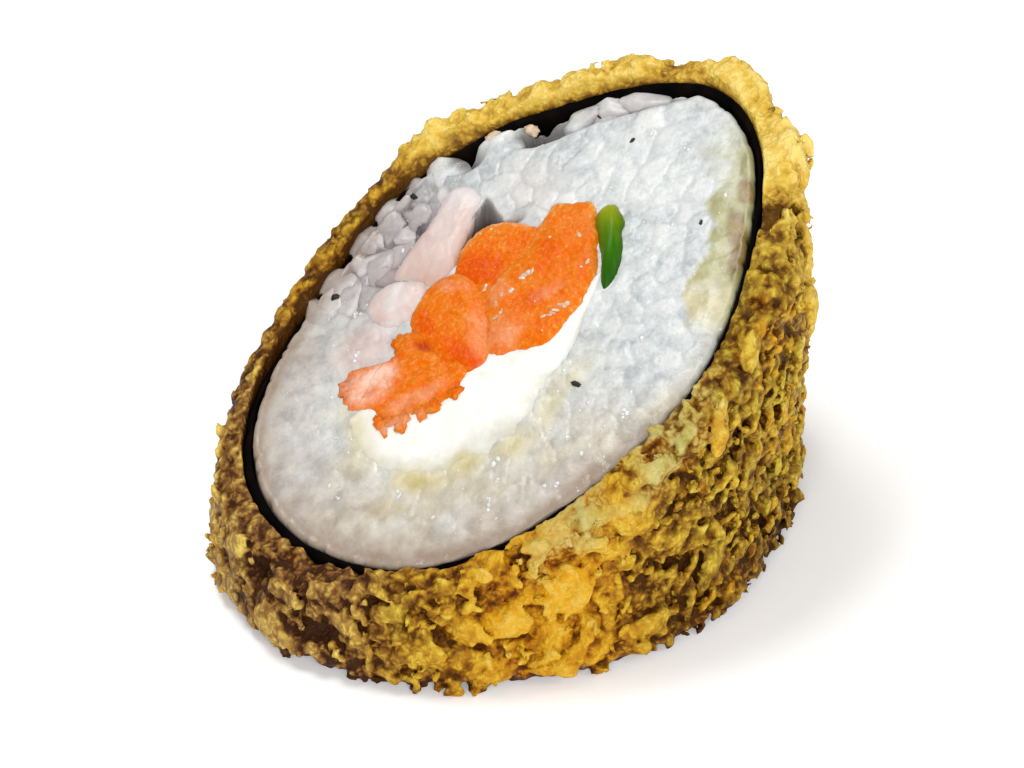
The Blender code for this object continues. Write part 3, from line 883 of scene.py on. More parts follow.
crust_points, crust_faces, crust_values, crust_grid = build_crust()
crust_mat = crust_look("fried_batter")
crust = add_mesh("crust", crust_points, crust_faces, crust_mat, nodes=("batter_crust",), values=crust_values)
thin = crust.modifiers.new("thin", "DECIMATE")
thin.ratio = 0.515
graph = bpy.context.evaluated_depsgraph_get()
fewer = bpy.data.meshes.new_from_object(crust.evaluated_get(graph), preserve_all_data_layers=True, depsgraph=graph)
crust.modifiers.clear()
crust.data = fewer
places = np.zeros(3 * len(fewer.vertices), np.float32)
fewer.vertices.foreach_get("co", places)
places[2::3] = np.maximum(places[2::3], 0.0)
fewer.vertices.foreach_set("co", places)
fewer.update()
build_crumbs(crust_grid, crust_mat)


# ---------------------------------------------------------------- nori
def nori_thickness(a):
    deg = np.degrees(a) % 360
    folds = 0.30 * np.exp(-((deg - 200) / 26) ** 2) + 0.14 * np.exp(-((deg - 62) / 28) ** 2)
    return 0.36 + folds + 0.07 * noise3(np.cos(a) * 18, np.sin(a) * 18, 0, 5.0, 5)


def build_nori():
    cols = 420
    a = TAU * np.arange(cols) / cols
    ca, sa = np.cos(a), np.sin(a)
    outer = wrap_radius(a) + 0.10 - pressed_in(a)
    inner = outer - nori_thickness(a)
    deg = np.degrees(np.arctan2(sa, ca))
    drop_here = 0.90 * low_rim(deg) + 0.40 * smooth(35, 55, deg) * smooth(104, 84, deg)
    rows = []
    wave = 0.10 * noise3(ca * 18, sa * 18, 0, 2.4, 8) + 0.07 * noise3(ca * 18, sa * 18, 0, 0.8, 9)
    for r, drop in ((outer, None), (outer, 2.0), (outer, 0.6), (outer, 0.12), (outer - 0.10, 0.0),
                    (0.5 * (outer + inner), -0.04), (inner + 0.10, 0.0), (inner, 0.12), (inner, 0.6),
                    (inner, 1.4), (inner, 2.6), (inner, 4.5), (inner, None)):
        r = r + (0.05 * noise3(ca * 18, sa * 18, (drop or 9.0), 1.6, 15))
        x, y = r * ca, r * sa
        z = 0.0 * a if drop is None else cut_height(x, y) - drop + wave - 0.12 - drop_here
        rows.append(np.stack([x, y, z], -1))
    p = np.stack(rows)
    return p, ring_faces(len(rows), cols, close_rows=True)[:, ::-1]


def nori_look():
    k = Look("nori_sheet")
    fibre = k.noise(0.5, 3.0, 0.6, stretch=(1, 1, 0.4))
    tint = k.ramp(k.noise(2.5, 2.0), [(0.35, (0.001, 0.001, 0.001)), (0.55, (0.003, 0.002, 0.002)), (0.75, (0.010, 0.005, 0.003))])
    k.set(Base_Color=tint, Roughness=k.span(fibre, 0.3, 0.7, 0.60, 0.80), Specular_IOR_Level=0.02, Normal=k.bump(fibre, 0.5, 0.12))
    return k.mat


p, f = build_nori()
add_mesh("nori_sheet", p, f, nori_look(), nodes=("nori",))

# ---------------------------------------------------------------- rice
# Where the cut rice is torn out or lies low: centre x, y, reach along, reach across, turn, depth
RICE_HOLLOWS = (
    (-9.5, 11.0, 6.4, 3.4, 38.0, 0.60),
    (-2.8, 15.9, 1.5, 1.2, 0.0, 2.4),
    (3.4, 15.6, 2.4, 1.1, -5.0, 2.2),
)


def gap_by_strip(x, y, grow=0.0):
    """The three-cornered gap between the long strip, the salmon and the rice behind them."""
    inside = 1.0
    u = x + 0.20 * noise3(x, y, 0.0, 1.1, 84)
    v = y + 0.20 * noise3(x, y, 4.0, 1.1, 85)
    for (ax, ay), (bx, by) in (((0.45, 8.0), (-1.25, 11.05)), ((-1.25, 11.05), (-4.7, 7.4))):
        lx, ly = bx - ax, by - ay
        side = (lx * (v - ay) - ly * (u - ax)) / math.hypot(lx, ly)
        inside = inside * smooth(-0.12 - grow, 0.16 - grow, side)
    return np.maximum(inside * smooth(6.6, 7.2, y), 0.5 * blob(x, y, 0.7, 8.75, 0.85, 0.36, -8, 2.0))


def hollow(x, y):
    """Depth of the torn places below the knife's cut."""
    depth = 0.0 * x
    for cx, cy, along, across, turn, deep in RICE_HOLLOWS:
        depth = np.maximum(depth, deep * blob(x, y, cx, cy, along, across, turn, 2.0))
    depth = np.maximum(depth, 2.6 * gap_by_strip(x, y))
    step = smooth(0.0, 0.45, y - 14.15 + 0.12 * (x - 8.0) * (x > 8.0)) * smooth(3.8, 4.6, x) * smooth(17.5, 14.0, x)
    near_rim = smooth(1.6, 0.2, wrap_radius(np.arctan2(y, x)) - np.hypot(x, y))
    return np.maximum(depth, 0.95 * step) * (1 - 0.90 * near_rim * smooth(1.6, 1.0, depth))


def rice_edge(a, below=0.0):
    wave = 0.10 * noise3(np.cos(a) * 18, np.sin(a) * 18, below, 3.2, 51)
    return wrap_radius(a) - pressed_in(a) - nori_thickness(a) - 0.06 + wave


def grain_mosaic(x, y, seed, spacing=2.35):
    """Cut rice grains side by side: which grain a point lies in, how far out from its middle, how
    far from the join to the next, and the grain's own centre."""
    rng = np.random.default_rng(seed)
    n = int(44 / spacing)
    gx, gy = np.meshgrid(np.arange(-n // 2, n // 2 + 1), np.arange(-n // 2, n // 2 + 1))
    sx = (gx + 0.5 * (gy % 2)) * spacing + rng.uniform(-0.8, 0.8, gx.shape)
    sy = gy * spacing * 0.87 + rng.uniform(-0.8, 0.8, gx.shape)
    sx, sy = sx.ravel(), sy.ravel()
    keep = np.hypot(sx, sy) < 23
    sx, sy = sx[keep], sy[keep]
    turn = rng.uniform(0, math.pi, len(sx))
    long = rng.uniform(1.1, 2.3, len(sx))
    wide = rng.uniform(0.75, 0.95, len(sx))
    x = x + 0.22 * noise3(x, y, 0.0, 1.6, seed + 1) + 0.08 * noise3(x, y, 0.0, 0.6, seed + 2)
    y = y + 0.22 * noise3(x, y, 5.0, 1.6, seed + 3) + 0.08 * noise3(x, y, 5.0, 0.6, seed + 4)
    shape = x.shape
    x, y = x.ravel(), y.ravel()
    best = np.full(len(x), 1e9)
    second = np.full(len(x), 1e9)
    which = np.zeros(len(x), int)
    for k in range(len(sx)):
        dx, dy = x - sx[k], y - sy[k]
        c, s = math.cos(turn[k]), math.sin(turn[k])
        d = np.sqrt(((dx * c + dy * s) / long[k]) ** 2 + ((-dx * s + dy * c) / wide[k]) ** 2)
        closer = d < best
        second = np.where(closer, best, np.minimum(second, d))
        which = np.where(closer, k, which)
        best = np.where(closer, d, best)
    tilt = rng.normal(0, 1, (len(sx), 2))
    lift = rng.uniform(-1, 1, len(sx))
    tone = rng.random(len(sx))
    near = (x - sx[which]) * tilt[which, 0] + (y - sy[which]) * tilt[which, 1]
    out = dict(d=best, join=(second - best) * 0.55, lift=lift[which], tone=tone[which], tilt=near)
    return {k: v.reshape(shape) for k, v in out.items()}


def rice_relief(x, y, seed, torn):
    """Height of the cut rice above a plane cut, with the depth of the joins between grains."""
    m = grain_mosaic(x, y, seed)
    strength = 0.40 + 0.60 * smooth(-0.35, 0.45, noise3(x, y, 0.0, 3.6, seed + 9)) + 0.8 * torn
    join = np.exp(-((m["join"] / (0.15 + 0.05 * torn)) ** 2))
    dome = np.clip(1 - m["d"] ** 2 * 0.35, 0, 1)
    h = (0.022 + 0.16 * torn) * m["lift"] + (0.010 + 0.03 * torn) * m["tilt"] - (0.045 + 0.08 * torn) * strength * join
    h = h + (0.022 + 0.16 * torn) * dome + 0.050 * fbm(x, y, 3.0, 1.5, seed + 12, 2) + 0.022 * noise3(x, y, 0.0, 0.40, seed + 14)
    return h, join * strength, m


def build_rice():
    cols, rings = 600, 94
    a = TAU * np.arange(cols) / cols - math.pi
    ca, sa = np.cos(a), np.sin(a)
    edge = rice_edge(a)
    _, notch, _ = rice_relief(edge * ca, edge * sa, 61, 0.0 * a)
    edge = edge - 0.22 * notch
    share = 1 - (np.arange(rings + 1) / rings)          # 1 at the rim, 0 at the middle
    share = share[:-1]
    r = (edge - 0.42)[None, :] * share[:, None]
    x, y = r * ca, r * sa
    torn = np.clip(hollow(x, y) / 0.8, 0, 1)
    torn = np.maximum(torn, 0.35 * blob(x, y, 2.0, 12.2, 5.0, 3.4, 115, 2.0))
    h, join, m = rice_relief(x, y, 61, torn)
    near_rim = smooth(2.6, 0.0, edge[None, :] - 0.42 - r) ** 2
    slump = near_rim * (0.14 + 0.05 * low_rim(np.degrees(a))[None, :])
    z = cut_height(x, y) - 0.14 - hollow(x, y) + h - slump
    top = np.stack([x, y, z], -1)

    rows, joins, tones = [], [], []
    # shoulder and side wall, from the base up
    rim_z = z[0] + 0.0
    low_edge = rice_edge(a, 9.0)
    foot = 0.35
    for k in range(4):
        t = k / 4 * math.pi / 2
        rr = low_edge - foot + foot * math.sin(t)
        rows.append(np.stack([rr * ca, rr * sa, 0.10 + foot - foot * math.cos(t) + 0 * a], -1))
    for k, f in enumerate((0.0, 0.25, 0.5, 0.7, 0.84, 0.93)):
        rr = low_edge + (edge - low_edge) * f
        rows.append(np.stack([rr * ca, rr * sa, 0.45 + (rim_z - 0.40 - 0.45) * f], -1))
    for k in range(6):
        t = k / 6 * math.pi / 2
        rr = edge - 0.42 + 0.42 * math.cos(t)
        bump = 0.05 * noise3(rr * ca, rr * sa, k * 0.1, 0.8, 67)
        rows.append(np.stack([(rr + bump) * ca, (rr + bump) * sa, rim_z - 0.42 + 0.42 * math.sin(t)], -1))
    side_count = len(rows)
    rows = np.stack(rows)

    # underside: the straight cut, its grains and joins a little above the base
    low_rings = 26
    ls = (np.arange(1, low_rings + 1) / (low_rings + 1))
    lr = (low_edge - foot)[None, :] * ls[:, None]
    lx, ly = lr * ca, lr * sa
    lh, ljoin, lm = rice_relief(lx, ly, 91, 0.0 * lx)
    under = np.stack([lx, ly, np.maximum(0.06 - lh, 0.0)], -1)

    grid = np.concatenate([under, rows, top])
    low_pole = np.array([[0.0, 0.0, 0.08]])
    high_pole = np.array([[0.0, 0.0, CUT_HEIGHT - 0.3]])
    count = len(grid)
    points = np.concatenate([grid.reshape(-1, 3), low_pole, high_pole])
    body = ring_faces(count, cols)
    i = np.arange(cols)
    fan_low = np.stack([np.full(cols, count * cols), (i + 1) % cols, i], -1)
    last = (count - 1) * cols
    fan_high = np.stack([np.full(cols, count * cols + 1), last + i, last + (i + 1) % cols], -1)

    zeros = np.zeros((side_count, cols))
    both = [0.0, 0.0]
    join_all = np.concatenate([ljoin.ravel(), zeros.ravel(), join.ravel(), both])
    tone_all = np.concatenate([lm["tone"].ravel(), np.broadcast_to(m["tone"][0], (side_count, cols)).ravel(), m["tone"].ravel(), both])
    torn_all = np.concatenate([0 * lx.ravel(), np.broadcast_to(torn[0], (side_count, cols)).ravel(), torn.ravel(), both])
    px, py = points[:, 0], points[:, 1]
    values = rice_values(px, py)
    values.update(join=join_all, tone=tone_all, torn=torn_all)
    return points, [np.concatenate([fan_low, fan_high]), body], values


# Yellow and beige smears where the cheese runs out: centre, half sizes, turn, strength
SMEARS = (
    (-7.6, -10.3, 2.2, 1.1, -22.0, 1.15), (-3.8, -10.2, 1.5, 0.9, -10.0, 0.90), (-0.2, -10.3, 1.5, 1.1, 10.0, 0.90),
    (2.9, -7.9, 1.0, 1.9, -25.0, 0.55), (-12.2, -4.9, 0.8, 2.5, 5.0, 0.50), (-13.2, -2.3, 0.9, 1.0, 0.0, 0.35),
    (-12.3, -7.2, 1.6, 1.3, -40.0, 0.45), (4.6, -6.4, 1.7, 0.8, 42.0, 0.35), (-9.6, -11.6, 1.8, 0.9, -30.0, 0.45),
    (-3.5, -13.0, 2.8, 0.8, 0.0, 0.35), (3.4, -12.4, 2.2, 0.8, 15.0, 0.30),
)


def smears(x, y):
    total = 0.0 * x
    u = x + 0.45 * noise3(x, y, 0.0, 1.4, 81)
    v = y + 0.45 * noise3(x, y, 4.0, 1.4, 82)
    for cx, cy, along, across, turn, strength in SMEARS:
        total = np.maximum(total, strength * blob(u, v, cx, cy, along, across, turn, 1.3))
    return total


def facets(x, y, size, seed):
    """For each flat patch of cut rice a value from 0 to 1, and how far in from the wrap it lies."""
    u = x + 0.12 * noise3(x, y, 0.0, 0.7, seed)
    v = y + 0.12 * noise3(x, y, 5.0, 0.7, seed)
    i0, j0 = np.floor(u / size), np.floor(v / size)
    best, value, inward = np.full(np.shape(x), 1e9), np.zeros(np.shape(x)), np.zeros(np.shape(x))
    for di in (-1, 0, 1):
        for dj in (-1, 0, 1):
            n = _hash((i0 + di).astype(np.int64), (j0 + dj).astype(np.int64), np.zeros(np.shape(x), np.int64), seed)
            px = (i0 + di + (n & np.uint32(1023)) / 1023.0) * size
            py = (j0 + dj + ((n >> np.uint32(10)) & np.uint32(1023)) / 1023.0) * size
            far = (px - u) ** 2 + (py - v) ** 2
            nearer = far < best
            best = np.where(nearer, far, best)
            value = np.where(nearer, ((n >> np.uint32(20)) & np.uint32(1023)) / 1023.0, value)
            inward = np.where(nearer, wrap_radius(np.arctan2(py, px)) - 0.8 - np.hypot(px, py), inward)
    return value, inward


def rice_values(x, y):
    """Where the rice is stained: brown at the lower left rim, cream by the cheese, green at the
    right rim, pink beside the salmon. Lilac grey in the torn part at the upper left is partly the grains'
    own colour, partly painted shade; dark grey in the gap by the long strip and in two torn hollows is painted shade."""
    a = np.arctan2(y, x)
    deg = np.degrees(a)
    inward = wrap_radius(a) - 0.8 - np.hypot(x, y)
    rim = smooth(4.0, 0.6, inward)
    chance, patch, tan_patch = 0.0, 0.0, 0.0
    for du, dv in ((-0.15, -0.06), (0.15, 0.06), (-0.06, 0.15), (0.06, -0.15)):
        value, patch_in = facets(x + du, y + dv, 1.9, 88)
        chance = chance + 0.25 * value
        patch = patch + 0.25 * smooth(0.25, 0.55, 0.55 * value + smooth(4.4, 1.2, patch_in) - 0.30)
        tan_patch = tan_patch + 0.25 * facets(x + du, y + dv, 1.4, 91)[0]
    wide_rim = 0.60 * smooth(8.5, 3.0, inward) + 0.40 * smooth(3.4, 0.8, inward) + 0.35 * smooth(1.2, 0.2, inward)
    return {
        "brown": wide_rim * np.clip(smooth(-30, -80, deg) * (deg < 0) + smooth(140, 170, deg), 0, 1) * (0.8 + 0.4 * noise3(x, y, 0, 2.5, 71)),
        "cream": np.clip(
            0.75 * blob(x, y, -4.0, -9.4, 9.0, 2.6, 0.0) + 0.50 * blob(x, y, -12.0, -5.5, 2.4, 4.0, 0.0)
            + 0.5 * blob(x, y, 4.0, -6.6, 4.0, 1.8, 40.0) + 0.70 * smooth(-8.5, -12.0, y), 0, 1) * (0.70 + 0.8 * noise3(x, y, 1, 2.2, 72)),
        "smear": np.maximum(smears(x, y), 0.9 * patch * (0.6 + 0.6 * chance) * np.exp(-((deg + 15) / 8) ** 4)),
        "edge": smooth(1.3, 0.15, inward) * np.clip(smooth(-20, -60, deg) * (deg < 0) + smooth(100, 150, deg), 0, 1),
        "green": np.clip(patch * (0.55 + 0.60 * chance) * smooth(-15, -8, deg) * np.exp(-((deg - 3) / 22) ** 4)
                         + 0.5 * smooth(1.5, 0.8, inward) * np.exp(-((deg + 4) / 30) ** 2), 0, 1),
        "tan": np.clip((1.1 + 0.9 * tan_patch) * (blob(x, y, 17.7, 0.2, 0.9, 2.1, 8.0, 2.0) + 1.1 * blob(x, y, 18.5, 3.6, 0.7, 1.1, 12.0, 2.0)
                       + 0.8 * blob(x, y, 17.3, -2.0, 0.7, 1.0, 0.0, 2.0)) - 0.20, 0, 1),
        "grey": blob(x, y, -13.2, -8.6, 2.0, 4.5, 22.0, 2.0) * (0.7 + 0.8 * noise3(x, y, 3.0, 2.4, 76)),
        "light": blob(x, y, 12.5, 8.0, 5.0, 4.5, 20.0, 2.0),
        "warm": np.clip(blob(x, y, 2.2, 10.6, 2.6, 2.4, 100), 0, 1),
        # Lilac grey in the low torn part: partly the grains' own colour, partly painted shade
        "lilac": np.clip(blob(x, y, -9.0, 10.5, 6.0, 4.5, 40.0, 2.0) + 0.6 * blob(x, y, 9.5, 15.3, 5.5, 1.2, -12.0, 2.0), 0, 1),
        "pink": np.clip(blob(x, y, -11.2, 2.4, 2.6, 2.2, 0.0, 2.0) + 0.6 * blob(x, y, -7.5, 7.6, 2.4, 2.0), 0, 1),
        # Painted shade: dark grey in the gap by the long strip and in two torn hollows at the back
        "pit": np.clip(gap_by_strip(x, y, 0.22) + blob(x, y, -2.8, 16.0, 1.2, 1.0, 0.0, 3.0)
                       + blob(x, y, 3.4, 16.0, 2.2, 0.9, -5.0, 3.0), 0, 1),
    }


def rice_look(name, wet=0.0):
    k = Look(name)
    soft = k.noise(1.4, 3.0, 0.5)
    broad = k.noise(6.0, 2.0, 0.5)
    fine = k.noise(0.30, 2.0, 0.5)
    shade = k.math("ADD", k.math("MULTIPLY", k.value("tone"), 0.46), k.math("MULTIPLY", k.math("SUBTRACT", soft, 0.5), 1.4))
    shade = k.math("ADD", shade, k.math("ADD", k.math("MULTIPLY", k.math("SUBTRACT", fine, 0.5), 0.7), 0.28))
    shade = k.math("ADD", shade, k.math("MULTIPLY", k.math("SUBTRACT", broad, 0.5), 0.5))
    shade = k.math("ADD", shade, k.math("MULTIPLY", k.value("light"), 0.22))
    shade = k.math("SUBTRACT", shade, k.math("MULTIPLY", k.value("grey"), 0.40))
    plain = k.ramp(shade, [
        (0.10, (0.42, 0.445, 0.455)), (0.36, (0.545, 0.570, 0.57)), (0.62, (0.625, 0.645, 0.635)), (0.92, (0.72, 0.725, 0.700)),
    ])
    # Grey at the joins between cut grains; on the loose torn grains join is their depth below the cut, so there this is
    # painted shade
    colour = k.mix(k.math("MULTIPLY", k.value("join"), 0.28), plain, (0.36, 0.37, 0.37))
    # Lilac grey in the torn part, darker than the plain rice: partly the grains' own colour, partly painted shade
    colour = k.mix(k.math("MULTIPLY", k.value("lilac"), 0.78), colour,
                   k.ramp(k.math("ADD", k.math("MULTIPLY", soft, 0.6), k.math("MULTIPLY", k.value("tone"), 0.4)),
                          [(0.25, (0.23, 0.190, 0.195)), (0.45, (0.38, 0.325, 0.320)), (0.70, (0.60, 0.535, 0.515))]))
    # Painted shade: nearly black at the joins in the torn part and on the deeper parts of the loose grains
    colour = k.mix(k.math("MULTIPLY", k.math("MULTIPLY", k.value("join"), k.value("lilac")), 0.75), colour, (0.10, 0.085, 0.090))
    colour = k.mix(k.math("MULTIPLY", k.value("warm"), 0.45), colour, (0.56, 0.49, 0.46))
    colour = k.mix(k.math("MULTIPLY", k.value("pink"), 0.7), colour, k.ramp(soft, [(0.35, (0.56, 0.39, 0.36)), (0.65, (0.68, 0.52, 0.47))]))
    colour = k.mix(k.math("MULTIPLY", k.value("cream"), 0.80), colour,
                   k.ramp(soft, [(0.30, (0.50, 0.45, 0.32)), (0.50, (0.62, 0.57, 0.42)), (0.70, (0.74, 0.70, 0.56))]))
    colour = k.mix(k.math("MULTIPLY", k.value("smear"), 0.85), colour, k.ramp(soft, [(0.35, (0.55, 0.46, 0.19)), (0.65, (0.70, 0.62, 0.33))]))
    colour = k.mix(k.math("MULTIPLY", k.value("brown"), 0.85), colour, k.ramp(soft, [(0.35, (0.37, 0.28, 0.21)), (0.65, (0.52, 0.44, 0.36))]))
    colour = k.mix(k.math("MULTIPLY", k.value("edge"), 0.60), colour, (0.29, 0.21, 0.15))
    colour = k.mix(k.math("MULTIPLY", k.value("green"), 0.92), colour, k.ramp(soft, [(0.35, (0.30, 0.28, 0.11)), (0.65, (0.44, 0.42, 0.21))]))
    colour = k.mix(k.math("MULTIPLY", k.value("tan"), 0.95), colour, k.ramp(soft, [(0.35, (0.160, 0.092, 0.022)), (0.65, (0.270, 0.185, 0.060))]))
    # Painted shade in the gap by the long strip and in the torn hollows
    colour = k.mix(k.math("MULTIPLY", k.value("pit"), 0.85), colour, (0.120, 0.105, 0.098))
    k.set(
        Base_Color=colour,
        Roughness=k.span(k.noise(0.9, 2.0), 0.3, 0.7, 0.20, 0.42),
        Subsurface_Weight=k.span(k.math("MAXIMUM", k.value("green"), k.value("tan")), 0.2, 0.8, 0.32, 0.04),
        Subsurface_Scale=0.0007,
        Subsurface_Radius=(1.0, 0.95, 0.85),
        Specular_IOR_Level=0.26,
        Coat_Weight=0.10,
        Coat_Roughness=0.12,
        Normal=k.bump(k.math("ADD", k.math("MULTIPLY", fine, 0.8), k.math("MULTIPLY", soft, 0.7)), 0.35, 0.10),
    )
    return k.mat


p, f, v = build_rice()
rice_mat = rice_look("cooked_rice")
add_mesh("rice_core", p, f, rice_mat, nodes=("rice",), values=v)

# Whole grains and lumps of grains where the rice is torn: middle x, y, height over the cut,
# turn, pitch, length, width, thickness
TORN_GRAINS = (
    (0.4, 13.0, -0.98, 84, 2, 6.0, 2.0, 2.0),
    (2.6, 11.2, -0.95, 74, 2, 5.8, 2.8, 2.0),
    (0.3, 15.3, -1.05, 60, -3, 3.6, 2.8, 2.0),
    (-4.4, 15.0, -1.20, 100, -3, 4.4, 3.9, 2.0),
    (-6.6, 14.3, -1.45, 120, -4, 4.2, 3.0, 2.0),
    (-8.9, 13.5, -1.50, 125, -4, 4.2, 3.2, 2.0),
    (-8.1, 11.4, -1.35, 110, 0, 3.6, 3.0, 2.0),
    (-10.9, 11.7, -1.45, 128, -4, 4.8, 3.4, 2.0),
    (-10.0, 9.2, -1.20, 60, 4, 5.4, 2.8, 2.0),
    (-13.1, 9.0, -1.25, 135, -4, 4.6, 3.2, 2.0),
    (-12.2, 7.0, -1.00, 75, 3, 5.6, 2.6, 1.8),
    (-14.6, 6.7, -0.95, 110, 0, 4.8, 3.0, 1.8),
    (-13.9, 3.0, -0.35, 108, 2, 5.0, 0.9, 1.2),
    (-11.3, 2.6, -0.46, 35, 3, 4.0, 3.0, 1.8),
    (-11.8, 4.6, -0.75, 40, 3, 4.2, 2.4, 1.8),
    (-6.8, 12.2, -1.25, 60, 2, 4.6, 2.4, 1.8),
    (6.3, 15.5, -1.25, 35, -5, 5.0, 2.6, 2.0),
    (8.6, 15.6, -1.30, -40, -5, 5.2, 2.6, 2.0),
    (11.2, 14.9, -1.20, -25, -4, 5.0, 2.5, 2.0),
    (6.6, 8.9, -0.62, 125, 2, 3.4, 1.7, 1.4),
)


def face_frame(turn, pitch):
    """Axes along, across and out of the cut, turned in its plane and pitched."""
    x1 = unit(np.array([1.0, 0.0, SLOPE_X]))
    y1 = np.cross(FACE_NORMAL, x1)
    t, q = math.radians(turn), math.radians(pitch)
    along = math.cos(t) * x1 + math.sin(t) * y1
    across = np.cross(FACE_NORMAL, along)
    along = math.cos(q) * along + math.sin(q) * FACE_NORMAL
    return along, across, np.cross(along, across)


def grain_points(verts, length, width, thick, seed):
    """A plump grain: blunt ends, a shallow furrow, slightly bent."""
    x, y, z = verts.T
    body = (1 - 0.18 * x ** 2)
    px = np.sign(x) * np.abs(x) ** 0.88 * length / 2
    py = y * body * width / 2 * (1 + 0.10 * noise3(x, y, z, 0.9, seed)) + 0.10 * width * (x ** 2 - 0.3) * (1 if seed % 2 else -1)
    pz = z * body * thick / 2 * (1 + 0.10 * noise3(x, y, z, 0.9, seed + 1))
    p = np.stack([px, py, pz], -1)
    n = unit(np.stack([x / length, y / width, z / thick], -1))
    p = p + n * (0.26 * noise3(px, py, pz, 1.4, seed + 2) + 0.10 * noise3(px, py, pz, 0.55, seed + 3))[:, None]
    rng = np.random.default_rng(seed)
    for _ in range(7):
        # flats where it was pressed against its neighbours
        way = unit(rng.normal(size=3) * np.array([0.6, 1.0, 1.0]))
        limit = rng.uniform(0.66, 0.86) * math.sqrt((way[0] * length) ** 2 + (way[1] * width) ** 2 + (way[2] * thick) ** 2) / 2
        over = np.maximum(p @ way - limit, 0)
        p = p - 0.85 * over[:, None] * way
    return p


def build_grains():
    verts, tris = ICO[4]
    rng = np.random.default_rng(5)
    items = [(g, 1.0) for g in TORN_GRAINS]
    for _ in range(6):
        # smaller grains that fill the torn part
        x, y = rng.normal(-9.5, 2.6), rng.normal(11.0, 2.4)
        if math.hypot(x, y) > wrap_radius(np.array(math.atan2(y, x))) - 2.2 or hollow(np.array(x), np.array(y)) < 0.35:
            continue
        items.append(((x, y, -1.25 - 0.2 * rng.random(), rng.uniform(0, 180), rng.normal(0, 8), rng.uniform(3.6, 5.6), rng.uniform(2.2, 2.9), 1.9), 0.0))
    pts, fcs, tone, torn = [], [], [], []
    for k, (g, _) in enumerate(items):
        cx, cy, lift, turn, pitch, length, width, thick = g
        e1, e2, e3 = face_frame(turn, pitch)
        local = grain_points(verts, length, width, thick, 300 + 7 * k)
        near_wrap = float(smooth(4.6, 2.2, wrap_radius(np.array(math.atan2(cy, cx))) - math.hypot(cx, cy)))
        at_left = near_wrap * (cx < -3.5)
        cx, cy = cx * (1 + 0.016 * at_left), cy * (1 + 0.016 * at_left)
        c = np.array([cx, cy, cut_height(cx, cy)]) + FACE_NORMAL * (lift - 0.12 + 0.16 * at_left)
        w = c + local[:, :1] * e1 + local[:, 1:2] * e2 + local[:, 2:3] * e3
        over = w[:, 2] - cut_height(w[:, 0], w[:, 1]) + 0.45
        w[:, 2] -= 0.62 * np.maximum(over, 0) * (over < 2.0)
        pts.append(w)
        fcs.append(tris + k * len(verts))
        tone.append(np.full(len(w), rng.uniform(0.15, 0.9)))
        torn.append(np.full(len(w), 1.0))
    pts = np.concatenate(pts)
    values = rice_values(pts[:, 0], pts[:, 1])
    below = cut_height(pts[:, 0], pts[:, 1]) - pts[:, 2]
    # join on the loose grains: painted shade, darker the deeper a point lies below the cut
    values.update(join=1.2 * smooth(0.75, 1.7, below), tone=np.concatenate(tone), torn=np.concatenate(torn))
    return add_mesh("rice_grains", pts, np.concatenate(fcs), rice_mat, values=values)


build_grains()


# ---------------------------------------------------------------- filling
def drawn_loop(outline, cols, ragged=0.1, seed=1, grow=0.0):
    """A smooth closed curve through the points, evenly spaced along its length, its edge torn."""
    q = np.array(outline, float)
    if np.sum(q[:, 0] * np.roll(q[:, 1], -1) - q[:, 1] * np.roll(q[:, 0], -1)) < 0:
        q = q[::-1]
    t = (np.arange(24) / 24)[None, :, None]
    p0, p1, p2, p3 = np.roll(q, 1, 0)[:, None], q[:, None], np.roll(q, -1, 0)[:, None], np.roll(q, -2, 0)[:, None]
    c = 0.5 * (2 * p1 + (p2 - p0) * t + (2 * p0 - 5 * p1 + 4 * p2 - p3) * t ** 2 + (3 * p1 - p0 - 3 * p2 + p3) * t ** 3)
    c = c.reshape(-1, 2)
    c = np.concatenate([c, c[:1]])
    run = np.concatenate([[0], np.cumsum(np.hypot(*np.diff(c, axis=0).T))])
    at = np.arange(cols) / cols * run[-1]
    x, y = np.interp(at, run, c[:, 0]), np.interp(at, run, c[:, 1])
    way = unit(np.stack([np.roll(y, -1) - np.roll(y, 1), np.roll(x, 1) - np.roll(x, -1)], -1))
    push = grow + ragged * (1.4 * noise3(x, y, 0.0, 1.5, seed) + 1.0 * noise3(x, y, 0.0, 0.6, seed + 5) + 0.5 * noise3(x, y, 0.0, 0.3, seed + 6))
    return np.stack([x, y], -1) + way * push[:, None]


def near_line(x, y, line, width):
    """1 on a run of straight pieces, falling off to the sides."""
    best = np.full(np.shape(x), 1e9)
    for (ax, ay), (bx, by) in zip(line[:-1], line[1:]):
        lx, ly = bx - ax, by - ay
        t = np.clip(((x - ax) * lx + (y - ay) * ly) / (lx * lx + ly * ly), 0, 1)
        best = np.minimum(best, np.hypot(x - ax - t * lx, y - ay - t * ly))
    return np.exp(-(best / width) ** 2)


def column_share(cols, rings):
    """For each point of build_column: 0 in the middle of the top, 1 at its edge and below."""
    s = 1 - np.arange(rings) / rings
    s = 1 - (1 - s) ** 1.15
    return np.concatenate([np.ones(15 * cols), np.repeat(s, cols), [1.0, 0.0]])


